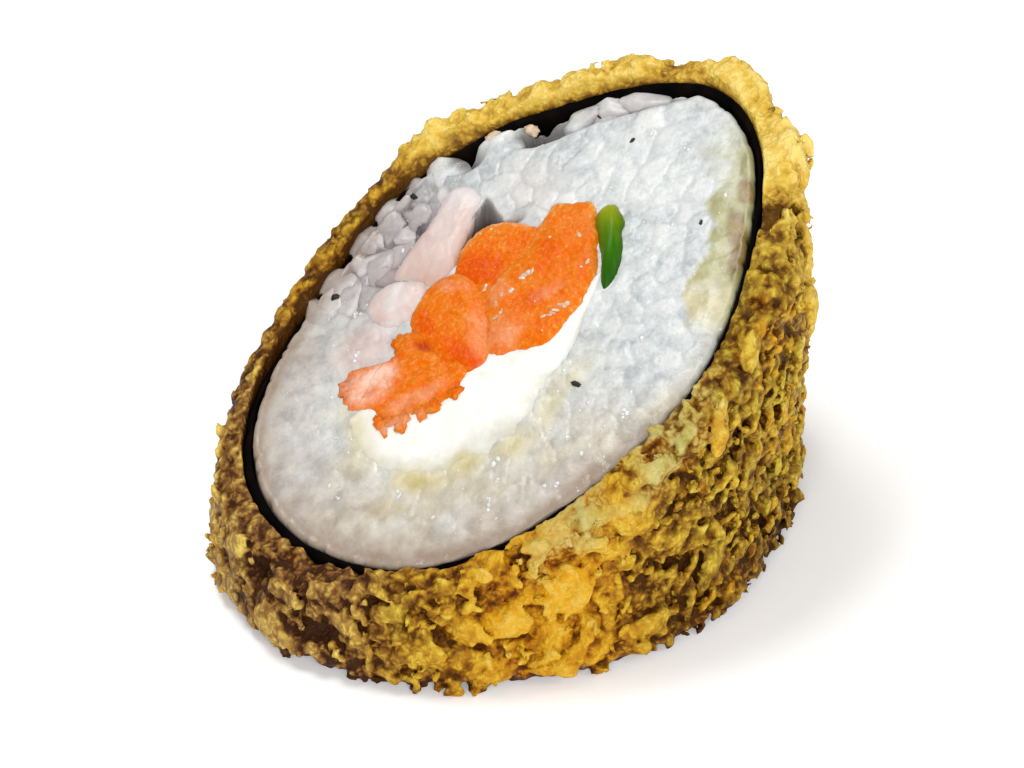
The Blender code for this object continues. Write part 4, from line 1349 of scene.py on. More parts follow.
def build_column(loop, centre, top, rings, base_z=0.02):
    """A closed solid under the surface top(x, y, s), s running from 0 in the middle to 1 at the edge."""
    cols = len(loop)
    c = np.array(centre)
    s = 1 - np.arange(rings) / rings
    s = 1 - (1 - s) ** 1.15
    xy = c + (loop - c)[None] * s[:, None, None]
    z = top(xy[..., 0], xy[..., 1], s[:, None] + 0 * xy[..., 0])
    upper = np.concatenate([xy, z[..., None]], -1)
    rim = z[0]
    walls = []
    for drop in (0.0, 0.35, 0.62, 0.80, 0.90, 0.96, 0.985):
        walls.append(np.concatenate([loop, (base_z + (rim - base_z) * drop)[:, None]], -1))
    walls = np.stack(walls)
    low_s = np.arange(1, 9) / 9
    low_xy = c + (loop - c)[None] * low_s[:, None, None]
    under = np.concatenate([low_xy, np.full(low_xy.shape[:2] + (1,), base_z)], -1)
    grid = np.concatenate([under, walls, upper])
    count = len(grid)
    i = np.arange(cols)
    last = (count - 1) * cols
    points = np.concatenate([
        grid.reshape(-1, 3), [[*centre, base_z]],
        [[*centre, float(top(np.array(centre[0]), np.array(centre[1]), np.array(0.0)))]],
    ])
    tris = np.concatenate([
        np.stack([np.full(cols, count * cols), (i + 1) % cols, i], -1),
        np.stack([np.full(cols, count * cols + 1), last + i, last + (i + 1) % cols], -1),
    ])
    return points, [tris, ring_faces(count, cols)]


# Lumps of salmon: outline on the cut, middle, rise, run of the fibres, how torn
SALMON = {
    "salmon_back": (((-3.8, 6.7), (-3.1, 8.0), (-1.7, 8.9), (-0.3, 8.8), (1.1, 8.2), (2.5, 7.2), (3.6, 5.6), (2.2, 2.9),
                     (-0.4, 1.9), (-2.2, 2.6), (-4.0, 4.4)), (-0.6, 5.8), 0.02, 150, 0.14),
    "salmon_right": (((3.7, 8.3), (4.1, 8.75), (5.4, 8.3), (6.9, 7.8), (7.15, 7.3), (7.2, 6.0), (7.2, 4.0), (6.9, 1.5), (5.8, -0.6),
                      (4.6, -2.0), (3.0, -3.1), (1.6, -3.2), (0.3, -2.8), (-1.2, -2.7), (-2.5, -2.0), (-2.3, -0.6), (-2.9, 0.9), (-2.3, 2.0), (-2.2, 3.0), (-0.9, 4.0),
                      (0.6, 4.9), (1.7, 5.9), (2.7, 7.1)), (3.0, 2.4), 0.26, 118, 0.12),
    "salmon_middle": (((-7.2, 4.6), (-6.2, 5.6), (-4.7, 6.0), (-3.0, 5.2), (-1.9, 4.2), (-0.6, 3.0), (0.4, 1.2), (0.4, -0.7),
                       (-0.5, -2.4), (-1.6, -3.2), (-3.1, -3.0), (-4.4, -2.3), (-5.7, -1.0), (-6.8, 0.3), (-7.5, 1.8),
                       (-7.6, 3.4)), (-3.8, 1.4), 0.34, 122, 0.12),
    "salmon_left": (((-13.2, 0.3), (-12.4, 0.9), (-10.4, 0.7), (-9.3, 0.8), (-8.6, 1.8), (-7.4, 2.6), (-5.6, 2.2), (-3.8, 0.0),
                     (-3.0, -2.4), (-3.5, -3.9), (-4.4, -4.5), (-5.9, -4.8), (-7.1, -4.8), (-8.3, -4.8), (-9.6, -4.5),
                     (-10.6, -3.7), (-11.6, -2.8), (-12.8, -1.9), (-13.3, -0.8)), (-8.2, -1.6), 0.00, 140, 0.24),
}

# Paler seams and edges of the flesh: the lump, the run, width and strength
FRINGES = (
    ("salmon_back", ((-3.5, 7.2), (-2.9, 8.2), (-1.4, 9.0), (0.3, 8.6), (2.3, 7.4)), 0.55, 1.0),
    ("salmon_right", ((4.1, 8.5), (2.8, 7.0), (1.8, 5.8), (0.7, 4.8), (-0.4, 4.1), (-1.4, 3.0)), 0.50, 0.95),
    ("salmon_middle", ((-7.3, 4.4), (-6.4, 5.6), (-4.7, 6.1), (-3.0, 5.3), (-2.0, 4.3)), 0.42, 1.0),
    ("salmon_right", ((4.1, 8.7), (5.4, 8.4), (6.9, 7.8), (7.2, 6.2)), 0.55, 0.9),
    ("salmon_right", ((7.1, 2.0), (6.0, -0.4), (4.7, -1.9), (3.0, -3.0)), 0.35, 0.5),
    ("salmon_middle", ((-6.7, 0.2), (-5.8, -0.9), (-4.6, -2.1), (-3.6, -2.9)), 0.28, 0.7),
)
# Deeper coloured flesh: the lump, centre, half sizes, turn, strength
DEEPS = (
    ("salmon_back", -2.2, 5.3, 2.5, 1.6, -35, 1.35), ("salmon_back", 1.0, 6.0, 2.0, 0.9, 30, 0.5),
    ("salmon_right", 3.6, 3.9, 1.3, 2.2, 5, 0.60), ("salmon_right", 1.6, 0.9, 1.6, 0.9, -20, 0.75), ("salmon_right", 5.8, 2.5, 0.8, 2.2, 0, 0.30),
    ("salmon_right", 3.0, -1.6, 1.8, 0.6, 20, 0.40),
    ("salmon_middle", -3.3, -2.1, 1.8, 0.9, -35, 1.25), ("salmon_middle", -6.4, 2.0, 0.9, 1.9, 10, 0.95), ("salmon_middle", -4.6, -0.6, 1.2, 0.9, -45, 0.7),
    ("salmon_left", -8.9, 0.5, 1.0, 0.6, 0, 0.60), ("salmon_left", -6.1, -4.4, 0.7, 0.5, 0, 0.90), ("salmon_left", -4.3, -4.0, 0.7, 0.6, 0, 0.90),
    ("salmon_left", -12.65, -0.25, 0.6, 0.7, 0, 0.9), ("salmon_left", -9.6, -3.0, 1.6, 0.4, -30, 0.4), ("salmon_left", -7.2, -1.0, 1.4, 0.7, -30, 0.35),
)
# Paler flesh
PALES = (
    ("salmon_left", -10.9, -0.9, 2.0, 1.6, -15, 1.5), ("salmon_left", -7.6, -3.6, 2.4, 0.7, 5, 0.35), ("salmon_left", -8.9, -5.0, 1.8, 0.6, 0, 0.55),
    ("salmon_middle", -1.6, -3.1, 1.1, 0.7, 0, 0.70), ("salmon_middle", -1.9, -0.2, 1.3, 2.2, 0, 0.24), ("salmon_middle", -4.2, 4.4, 1.8, 0.5, -30, 0.30),
    ("salmon_right", -0.6, -1.2, 1.6, 1.6, 0, 0.36), ("salmon_right", 3.0, 0.9, 1.4, 0.6, 10, 0.35), ("salmon_right", -0.9, 2.6, 1.0, 1.0, 20, 0.35),
)


def fibres(x, y, direction, seed, size=0.38, stretch=7.0):
    """Fine ridges of flesh that run one way across the cut."""
    t = math.radians(direction)
    wx = x + 0.22 * noise3(x, y, 0.0, 3.5, seed + 1)
    wy = y + 0.22 * noise3(x, y, 3.0, 3.5, seed + 2)
    u = (wx * math.cos(t) + wy * math.sin(t)) / stretch
    v = -wx * math.sin(t) + wy * math.cos(t)
    return noise3(u, v, 0.0, size, seed) * 0.65 + noise3(u, v, 4.0, size * 0.45, seed + 5) * 0.35


def salmon_values(x, y, direction, seed, name):
    wx = x + 0.35 * noise3(x, y, 0.0, 1.6, seed + 8)
    wy = y + 0.35 * noise3(x, y, 3.0, 1.6, seed + 9)
    deep = 0.0 * x + sum(q[6] * blob(wx, wy, *q[1:6], 1.6) for q in DEEPS if q[0] == name)
    pale = 0.0 * x + sum(q[6] * blob(wx, wy, *q[1:6], 2.0) for q in PALES if q[0] == name)
    # Painted shade: a dark red line in the dip where the middle and left lumps meet
    crease = blob(x, y, -6.72, 0.55, 0.85, 0.30, -42, 1.6)
    fringe = 0.0 * x
    for lump, line, width, strength in FRINGES:
        if lump == name:
            fringe = np.maximum(fringe, strength * near_line(wx, wy, line, width))
    return {"deep": np.clip(deep, 0, 1.4), "pale": np.clip(pale, 0, 1.1), "fringe": fringe, "crease": crease, "fibre": fibres(x, y, direction, seed)}


def salmon_look():
    k = Look("raw_salmon")
    fibre = k.value("fibre")
    soft = k.noise(1.5, 3.0, 0.6)
    fine = k.noise(0.36, 3.0, 0.65)
    grain = k.span(k.cells(0.40, 0.7), 0.08, 0.55, 1.0, 0.0)
    v = k.math("ADD", k.math("MULTIPLY", fibre, 0.18), k.math("ADD", k.math("MULTIPLY", k.math("SUBTRACT", soft, 0.5), 0.45),
                                                             k.math("MULTIPLY", k.math("SUBTRACT", fine, 0.5), 0.62)))
    v = k.math("ADD", v, k.math("MULTIPLY", k.math("SUBTRACT", grain, 0.5), 0.26))
    speck = k.span(k.cells(0.75, 0.8), 0.20, 0.10)
    v = k.math("ADD", v, k.math("MULTIPLY", speck, 0.22))
    v = k.math("ADD", v, 0.55)
    v = k.math("SUBTRACT", v, k.math("MULTIPLY", k.value("deep"), 0.27))
    v = k.math("ADD", v, k.math("MULTIPLY", k.value("fringe"), 0.32))
    # Painted shade: slightly darker at the very edge of each lump and down its sides
    v = k.math("SUBTRACT", v, k.math("MULTIPLY", k.span(k.value("share"), 0.955, 1.0), 0.03))
    colour = k.ramp(v, [
        (0.08, (0.68, 0.078, 0.000)), (0.30, (0.73, 0.128, 0.000)), (0.50, (0.745, 0.182, 0.006)),
        (0.68, (0.745, 0.245, 0.038)), (0.92, (0.780, 0.420, 0.200)),
    ])
    pale = k.math("MULTIPLY", k.value("pale"), k.span(k.math("ADD", soft, k.math("MULTIPLY", fine, 0.4)), 0.50, 0.80, 0.35, 1.0))
    colour = k.mix(k.math("MULTIPLY", pale, 0.90), colour,
                   k.ramp(soft, [(0.35, (0.80, 0.41, 0.27)), (0.6, (0.83, 0.53, 0.41))]))
    # Painted shade in the dip where the middle and left lumps meet
    colour = k.mix(k.math("MULTIPLY", k.value("crease"), 0.85), colour, (0.46, 0.030, 0.002))
    height = k.math("ADD", k.math("MULTIPLY", fine, 0.45), k.math("MULTIPLY", grain, 0.45))
    k.set(
        Base_Color=colour,
        Roughness=k.span(fine, 0.3, 0.7, 0.28, 0.48),
        Subsurface_Weight=0.20,
        Subsurface_Scale=0.0007,
        Subsurface_Radius=(1.6, 0.5, 0.2),
        Specular_IOR_Level=0.07,
        Coat_Weight=0.10,
        Coat_Roughness=0.12,
        Normal=k.bump(k.math("ADD", height, k.math("MULTIPLY", fibre, 0.25)), 0.70, 0.11),
    )
    k.link(k.bump(height, 0.9, 0.16), k.shader.inputs["Coat Normal"])
    return k.mat


# Shreds of flesh along the lower edge of the left lump: x, y, length, width, turn
SHREDS = (
    (-10.1, -4.5, 1.9, 1.0, -75), (-8.4, -5.0, 1.9, 1.0, -110), (-9.3, -4.6, 1.4, 0.9, -30), (-7.1, -4.8, 1.4, 0.9, -80),
    (-6.1, -4.7, 1.4, 1.0, 20), (-4.3, -4.2, 1.3, 1.0, 30), (-12.7, -0.5, 1.3, 1.1, 80), (-8.5, 1.6, 1.5, 1.0, 60),
)


def add_shreds(points, faces):
    verts, tris = ICO[3]
    pts, fcs = [points], []
    start = len(points)
    for k, (x, y, length, width, turn) in enumerate(SHREDS):
        e1, e2, e3 = face_frame(turn, 0)
        shape = noisy_shape(verts, 1.0, 750 + k, 0.75)
        c = np.array([x, y, float(cut_height(x, y))]) - 0.05 * e3
        pts.append(c + 0.5 * (1.1 * length * shape[:, :1] * e1 + 1.15 * width * shape[:, 1:2] * e2 + 0.45 * shape[:, 2:3] * e3))
        fcs.append(tris + start)
        start += len(verts)
    return np.concatenate(pts), [np.concatenate([faces[0]] + fcs), faces[1]]


salmon_mat = salmon_look()
for n, (name, (outline, middle, rise, direction, ragged)) in enumerate(SALMON.items()):
    seed = 400 + 20 * n
    torn_flesh = 1.0 if name == "salmon_left" else 0.15

    def top(x, y, s, rise=rise, direction=direction, seed=seed):
        dome = (rise + 0.15) * (1 - s ** 4) - 0.62 * s ** 12
        rough = 0.26 * fbm(x, y, 0.0, 2.6, seed, 3) + 0.040 * fibres(x, y, direction, seed) + 0.030 * noise3(x, y, 0.0, 0.4, seed + 4)
        rough = rough + 0.22 * torn_flesh * (noise3(x, y, 0.0, 1.5, seed + 14) - 0.6 * np.exp(-(noise3(x, y, 2.0, 2.4, seed + 15) / 0.06) ** 2))
        crease = 0.12 * np.exp(-(noise3(x, y, 7.0, 5.0, seed + 8) / 0.03) ** 2)
        dip = 0.22 * blob(x, y, -6.7, 0.5, 0.9, 0.4, -42, 2.0)
        if name == "salmon_middle":
            dip = dip + 0.80 * smooth(-3.4, -0.4, x + 0.15 * noise3(x, y, 0.0, 1.2, 86))
        if name == "salmon_right":
            dip = dip + 0.34 * smooth(-0.5, -2.4, x)
        return cut_height(x, y) + 0.12 + dome + rough - crease * (1 - s ** 4) - dip

    loop = drawn_loop(outline, 260, ragged, seed, 0.16)
    p, f = build_column(loop, middle, top, 60)
    share = column_share(260, 60)
    if name == "salmon_left":
        p, f = add_shreds(p, f)
        share = np.concatenate([share, np.full(len(p) - len(share), 0.6)])
    values = salmon_values(p[:, 0], p[:, 1], direction, seed, name)
    values["share"] = share
    add_mesh(name + "_flesh", p, f, salmon_mat, nodes=(name,), values=values)


def pale_look():
    k = Look("pale_strips")
    soft = k.noise(1.8, 3.0, 0.5)
    streak = k.value("streak")
    v = k.math("ADD", k.math("MULTIPLY", soft, 0.6), k.math("MULTIPLY", streak, 0.4))
    v = k.math("ADD", v, k.math("MULTIPLY", k.value("tip"), 0.25))
    v = k.math("SUBTRACT", v, k.math("MULTIPLY", k.value("root"), 0.22))
    colour = k.ramp(v, [
        (0.08, (0.62, 0.33, 0.24)), (0.24, (0.60, 0.41, 0.35)), (0.40, (0.62, 0.47, 0.42)), (0.55, (0.65, 0.53, 0.49)), (0.78, (0.69, 0.64, 0.62)),
    ])
    k.set(
        Base_Color=colour,
        Roughness=k.span(soft, 0.3, 0.7, 0.30, 0.48),
        Subsurface_Weight=0.4,
        Subsurface_Scale=0.0012,
        Subsurface_Radius=(1.2, 0.8, 0.7),
        Specular_IOR_Level=0.28,
        Coat_Weight=0.08,
        Coat_Roughness=0.15,
        Normal=k.bump(k.noise(0.5, 3.0, 0.6), 0.45, 0.12),
    )
    return k.mat


pale_mat = pale_look()
PALE = {
    "pale_strip_long": (((-3.5, 13.5), (-2.4, 13.1), (-1.5, 11.9), (-2.0, 10.6), (-3.0, 9.1), (-3.7, 7.6), (-4.2, 6.1), (-5.8, 5.2),
                         (-7.4, 6.4), (-8.6, 7.6), (-7.9, 8.9), (-6.4, 10.3), (-5.3, 11.5), (-4.4, 12.9)), (-4.8, 9.8), 0.34, 52, (-2.8, 12.4)),
    "pale_strip_short": (((-11.0, 5.8), (-10.2, 6.9), (-8.8, 7.2), (-7.6, 6.8), (-6.2, 6.2), (-6.2, 4.4), (-7.5, 3.3), (-9.3, 3.3),
                          (-10.5, 4.2)), (-8.8, 5.2), 0.30, 12, (-7.8, 6.4)),
}
for n, (name, (outline, middle, rise, direction, tip)) in enumerate(PALE.items()):
    seed = 520 + 20 * n

    def top(x, y, s, rise=rise, direction=direction, seed=seed):
        dome = rise * (1 - s ** 2.6) - 0.55 * s ** 7
        return cut_height(x, y) + 0.05 + dome + 0.22 * fbm(x, y, 0.0, 2.2, seed, 3) + 0.05 * fibres(x, y, direction, seed, 0.8)

    loop = drawn_loop(outline, 180, 0.10, seed, 0.1)
    p, f = build_column(loop, middle, top, 44)
    add_mesh(name + "_flesh", p, f, pale_mat, nodes=(name,), values={
        "streak": 0.5 + 0.5 * fibres(p[:, 0], p[:, 1], direction, seed, 0.7),
        "tip": blob(p[:, 0], p[:, 1], *tip, 2.6, 2.2),
        "root": blob(p[:, 0], p[:, 1], -5.6, 6.0, 2.6, 1.6, 0.0),
    })

# Cream cheese, spread thin at its edges
CHEESE_LOW = ((-12.7, -3.0), (-12.5, -5.2), (-11.2, -7.6), (-9.2, -9.2), (-7.2, -10.2), (-5.5, -10.5), (-4.6, -9.9), (-3.4, -10.2),
              (-2.1, -10.5), (-1.1, -9.6), (0.1, -9.6), (1.2, -8.8), (2.0, -7.4), (2.9, -6.2), (4.2, -5.0), (5.0, -3.8),
              (5.7, -2.3), (6.6, -0.3), (7.35, 1.4))
CHEESE_HIGH = ((-12.7, -3.0), (-11.2, -1.8), (-9.6, -2.2), (-7.6, -2.8), (-5.4, -2.4), (-3.8, -1.4), (-2.2, -1.2), (-0.6, -1.2),
               (1.4, -1.2), (3.4, -0.9), (5.0, 0.2), (6.5, 1.2), (7.35, 1.4))


def drawn_line(points, at):
    """Points along a run of straight pieces, softened, at shares of its length."""
    q = np.array(points, float)
    run = np.concatenate([[0], np.cumsum(np.hypot(*np.diff(q, axis=0).T))]) / np.sum(np.hypot(*np.diff(q, axis=0).T))
    reach = 0.012
    x = sum(np.interp(np.clip(at + d * reach, 0, 1), run, q[:, 0]) for d in (-1, -0.5, 0, 0.5, 1)) / 5
    y = sum(np.interp(np.clip(at + d * reach, 0, 1), run, q[:, 1]) for d in (-1, -0.5, 0, 0.5, 1)) / 5
    return x, y


def cheese_relief(x, y):
    return 0.09 * fbm(x, y, 0.0, 2.6, 611, 3) + 0.03 * fibres(x, y, 25, 613, 0.8, 3.5) + 0.02 * noise3(x, y, 0.0, 0.5, 615)


def build_cheese():
    """The bent band of the cheese as a disc of rings: its outline runs along one side and back."""
    cols, rings = 400, 46
    u = TAU * np.arange(cols) / cols
    e = 0.5 - 0.5 * np.cos(u)
    lx, ly = drawn_line(CHEESE_LOW, e)
    hx, hy = drawn_line(CHEESE_HIGH, e)
    mx, my = 0.5 * (lx + hx), 0.5 * (ly + hy)
    low_side = u < math.pi
    torn = 0.16 * noise3(lx, ly, 0.0, 0.9, 602) + 0.08 * noise3(lx, ly, 0.0, 0.35, 603)
    bx = np.where(low_side, lx + torn, hx)
    by = np.where(low_side, ly + torn * 0.8, hy)

    def place(s):
        """s 0 on the band's middle line, 1 on its outline."""
        return mx + (bx - mx) * s, my + (by - my) * s

    rows, shares = [], []
    for k in range(rings):
        s = 1 - k / rings
        x, y = place(s)
        z = cut_height(x, y) + 0.00 - 0.24 * s ** 3.5 + cheese_relief(x, y) - 0.16 * s * smooth(-10.0, -12.6, x)
        rows.append(np.stack([x, y, z], -1))
        shares.append(np.full(cols, s))
    top = np.stack(rows)
    rim = top[0]
    walls = [np.concatenate([rim[:, :2], 0.02 + (rim[:, 2:] - 0.02) * q], -1) for q in (0.0, 0.4, 0.7, 0.88, 0.96)]
    under = []
    for k in range(6, 0, -1):
        x, y = place(1 - k / 7)
        under.append(np.stack([x, y, np.full(cols, 0.02)], -1))
    grid = np.concatenate([np.stack(under), np.stack(walls), top])
    # The two sides meet on the middle line
    count = len(grid)
    x, y = place(0.0)
    pts = grid.reshape(-1, 3)
    half_cols = cols // 2
    mid_top = np.stack([x, y, cut_height(x, y) + 0.00 + cheese_relief(x, y)], -1)[:half_cols + 1]
    mid_low = np.stack([x, y, np.full(cols, 0.02)], -1)[:half_cols + 1]
    i = np.arange(cols)
    fold = np.where(i <= half_cols, i, cols - i)
    high0 = count * cols
    low0 = high0 + half_cols + 1
    last = (count - 1) * cols
    j = (i + 1) % cols
    join_top = np.stack([last + i, last + j, high0 + fold[j], high0 + fold[i]], -1)
    join_low = np.stack([low0 + fold[i], low0 + fold[j], j, i], -1)
    points = np.concatenate([pts, mid_top, mid_low])
    quads = np.concatenate([ring_faces(count, cols), join_top, join_low])
    same = (quads[:, 2] == quads[:, 3])
    tris = quads[same][:, :3]
    share = np.concatenate([np.ones((len(under) + len(walls)) * cols), np.concatenate(shares),
                            np.zeros(len(mid_top)), np.ones(len(mid_low))])
    return points, [tris, quads[~same]] if len(tris) else [quads], share


def cheese_look():
    k = Look("cream_cheese")
    soft = k.noise(2.2, 3.0, 0.5)
    stain = k.value("stain")
    colour = k.ramp(k.math("ADD", k.math("MULTIPLY", k.math("SUBTRACT", soft, 0.5), 0.9), 0.55), [
        (0.15, (0.80, 0.76, 0.62)), (0.38, (0.86, 0.84, 0.75)), (0.70, (0.885, 0.875, 0.83)),
    ])
    edge = k.math("ADD", k.value("edge"), k.math("MULTIPLY", k.math("SUBTRACT", k.noise(1.6, 3.0, 0.6), 0.5), 0.9))
    colour = k.mix(k.math("MULTIPLY", k.span(edge, 0.42, 0.92), 0.95), colour,
                   k.ramp(soft, [(0.35, (0.56, 0.54, 0.44)), (0.65, (0.66, 0.65, 0.58))]))
    colour = k.mix(k.math("MULTIPLY", k.value("end"), 0.80), colour, k.ramp(soft, [(0.35, (0.62, 0.56, 0.42)), (0.65, (0.78, 0.73, 0.58))]))
    colour = k.mix(k.math("MULTIPLY", stain, 0.92), colour, k.ramp(soft, [(0.35, (0.58, 0.49, 0.21)), (0.65, (0.74, 0.67, 0.38))]))
    k.set(
        Base_Color=colour, Roughness=k.span(k.noise(0.6, 2.0), 0.3, 0.7, 0.35, 0.55),
        Subsurface_Weight=0.4, Subsurface_Scale=0.0012, Subsurface_Radius=(1.0, 0.9, 0.7),
        Specular_IOR_Level=0.35,
        Normal=k.bump(k.noise(0.45, 3.0, 0.6), 0.25, 0.10),
    )
    return k.mat


p, f, share = build_cheese()
add_mesh("cheese_band", p, f, cheese_look(), nodes=("cream_cheese",), values={
    "edge": share * smooth(-2.4, -4.5, p[:, 1] - 0.3 * (p[:, 0] + 4)),
    "end": smooth(-9.2, -12.6, p[:, 0] + 0.25 * (p[:, 1] + 5)),
    "stain": smears(p[:, 0], p[:, 1]),
})


# Green onion: a folded crescent of leaf
def onion_look():
    k = Look("green_onion")
    along = k.value("along")
    side = k.value("side")
    streak = k.noise(0.35, 2.0, 0.5, stretch=(1, 0.15, 0.15))
    v = k.math("ADD", k.math("MULTIPLY", along, 1.02), k.math("MULTIPLY", k.math("SUBTRACT", streak, 0.5), 0.25))
    colour = k.ramp(v, [
        (0.05, (0.014, 0.085, 0.001)), (0.38, (0.032, 0.140, 0.001)), (0.62, (0.105, 0.200, 0.001)), (0.95, (0.340, 0.370, 0.004)),
    ])
    colour = k.mix(k.math("MULTIPLY", side, 0.5), colour, (0.022, 0.100, 0.003))
    k.set(
        Base_Color=colour, Roughness=0.34, Specular_IOR_Level=0.10,
        Subsurface_Weight=0.15, Subsurface_Scale=0.0006, Subsurface_Radius=(0.5, 1.0, 0.2),
        Normal=k.bump(streak, 0.3, 0.08),
    )
    return k.mat


ONION = ((7.2, 6.6), (7.9, 7.0), (8.6, 6.8), (9.1, 5.9), (9.35, 4.8), (9.05, 4.0), (9.05, 2.6), (8.75, 1.2), (8.1, 0.1), (7.35, -0.4),
         (7.15, 0.8), (7.3, 2.4), (7.15, 4.2), (6.95, 5.6))
ONION_MIDDLE = (8.05, 3.6)


def onion_top(x, y, s):
    fold = 0.30 * np.exp(-((x - 8.75 - 0.05 * (y - 3.4)) / 0.28) ** 2) * (np.abs(y - 3.0) < 3.2)
    return cut_height(x, y) + 0.05 + 0.95 * (1 - s ** 2.4) - 0.6 * s ** 6 - fold * (1 - s ** 3) + 0.06 * fbm(x, y, 0.0, 1.4, 631, 2)


loop = drawn_loop(ONION, 180, 0.04, 630, 0.05)
p, f = build_column(loop, ONION_MIDDLE, onion_top, 40)
add_mesh("green_onion_leaf", p, f, onion_look(), nodes=("green_onion",), values={
    "along": np.clip((p[:, 1] + 0.2) / 7.0, 0, 1),
    "side": np.clip(1 - np.exp(-((p[:, 0] - 8.1) / 0.75) ** 4) + 0.5 * smooth(2.0, 0.0, p[:, 1]), 0, 1),
})


# ---------------------------------------------------------------- specks, crumbs, and wet films painted as glints on the cut
def on_cut(x, y, lift=0.0):
    return np.array([x, y, float(cut_height(x, y))]) + FACE_NORMAL * lift


def surface_probe(names):
    """Height of the shown surface over a point of the base, from the pieces already made."""
    bpy.context.view_layer.update()
    obs = [bpy.data.objects[n] for n in names]

    def probe(x, y):
        best = None
        for ob in obs:
            hit, where, normal, _ = ob.ray_cast(Vector(((x + AXIS_AT[0]) * MM, (y + AXIS_AT[1]) * MM, 0.06)), Vector((0, 0, -1)))
            if hit and (best is None or where.z > best[0].z):
                best = (where, normal, ob.name)
        if best is None:
            return None
        w, nn, who = best
        return np.array([w.x / MM - AXIS_AT[0], w.y / MM - AXIS_AT[1], w.z / MM]), np.array(nn[:]), who

    return probe


probe = surface_probe([
    "rice_core", "rice_grains", "salmon_back_flesh", "salmon_right_flesh", "salmon_middle_flesh", "salmon_left_flesh",
    "pale_strip_long_flesh", "pale_strip_short_flesh", "cheese_band", "green_onion_leaf",
])


# Glints on the salmon and beside it, wet films painted pale as highlights: x, y, length, width, turn
GLINTS = (
    (1.55, 3.00, 1.10, 0.42, 20), (0.33, 2.10, 0.50, 0.45, 0), (-0.45, 2.05, 0.45, 0.25, 60), (-0.95, 1.55, 0.45, 0.22, 100),
    (-0.55, 0.75, 0.55, 0.25, 60), (-1.00, 0.45, 0.50, 0.20, 10), (4.20, -0.60, 0.80, 0.32, -10), (3.15, -1.00, 1.20, 0.24, -4),
    (-11.82, 2.24, 0.55, 0.50, 0), (-1.69, 3.50, 0.45, 0.40, 0), (5.79, 4.67, 0.50, 0.26, -50), (6.24, 2.26, 0.48, 0.34, 40),
    (8.30, -11.00, 0.70, 0.40, 50), (10.00, -5.50, 0.55, 0.36, 30), (-11.70, 5.80, 0.60, 0.45, 20), (-9.00, -10.50, 0.45, 0.40, 0),
    (-2.20, -14.00, 0.60, 0.30, 60), (-1.50, -12.60, 0.42, 0.32, 0), (-13.70, -4.10, 0.50, 0.30, -30), (2.90, -14.60, 0.50, 0.38, 0),
)


def moisture():
    """Thin irregular wet films on the cut rice and salmon, coloured near white or pale orange so that they show as
    glints: painted highlights.
    """
    rng = np.random.default_rng(9)
    verts, tris = ICO[3]
    pts, fcs, on_flesh = [], [], []
    films = []
    for x, y, length, width, turn in GLINTS:
        t = math.radians(turn)
        number = 2 if length < 0.6 else 4
        for k in range(number):
            along, across = 0.24 * length * (k - (number - 1) / 2), 0.24 * width * rng.normal()
            films.append((x + along * math.cos(t) - across * math.sin(t), y + along * math.sin(t) + across * math.cos(t),
                          (0.36 if number == 2 else 0.29) * length, 0.48 * width * rng.uniform(0.7, 1.3), turn + rng.normal(0, 20), True))
    while len(films) < 330:
        a, r = rng.uniform(0, TAU), 16.8 * math.sqrt(rng.random())
        x, y = r * math.cos(a) * 1.05, r * math.sin(a) * 0.98
        if rng.random() < 0.30 + 0.70 * (y < 2) + 0.3 * (x > 8):
            size = 0.05 + 0.19 * rng.random() ** 3.5
            turn = rng.uniform(0, 180)
            films.append((x, y, size * rng.uniform(0.9, 1.3), size * rng.uniform(0.6, 0.95), turn, False))
    for k, (x, y, half, narrow, turn, named) in enumerate(films):
        hit = probe(x, y)
        if hit is None or hit[2] in ("green_onion_leaf", "cheese_band") or (not named and "salmon" in hit[2] and (half < 0.10 or rng.random() < 0.4)):
            continue
        c, nn, who = hit
        t = math.radians(turn)
        e1 = unit(np.cross(np.cross(nn, [math.cos(t), math.sin(t), 0.0]), nn))
        e2 = np.cross(nn, e1)
        shape = noisy_shape(verts, 1.0, 900 + k, 0.42 if named else 0.16)
        w = c + half * shape[:, :1] * e1 + narrow * shape[:, 1:2] * e2 + 0.30 * min(half, narrow) * shape[:, 2:3] * nn
        fcs.append(tris + len(pts) * len(verts))
        pts.append(w)
        on_flesh.append(np.full(len(w), float("salmon" in who)))
    look = Look("moisture")
    # Near white on the rice and pale orange on the salmon: painted highlights; the films' gloss is real
    look.set(
        Base_Color=look.mix(
            look.value("flesh"), look.ramp(look.noise(0.8, 2.0), [(0.3, (0.82, 0.78, 0.72)), (0.6, (0.88, 0.86, 0.82))]),
            look.ramp(look.noise(0.8, 2.0), [(0.3, (0.84, 0.40, 0.21)), (0.6, (0.87, 0.56, 0.38))])), Roughness=0.30,
        Subsurface_Weight=0.5, Subsurface_Scale=0.0005, Subsurface_Radius=(1.0, 0.9, 0.8),
        Specular_IOR_Level=0.5, Coat_Weight=0.4, Coat_Roughness=0.08,
    )
    add_mesh("moisture_beads", np.concatenate(pts), np.concatenate(fcs), look.mat, values={"flesh": np.concatenate(on_flesh)})


moisture()


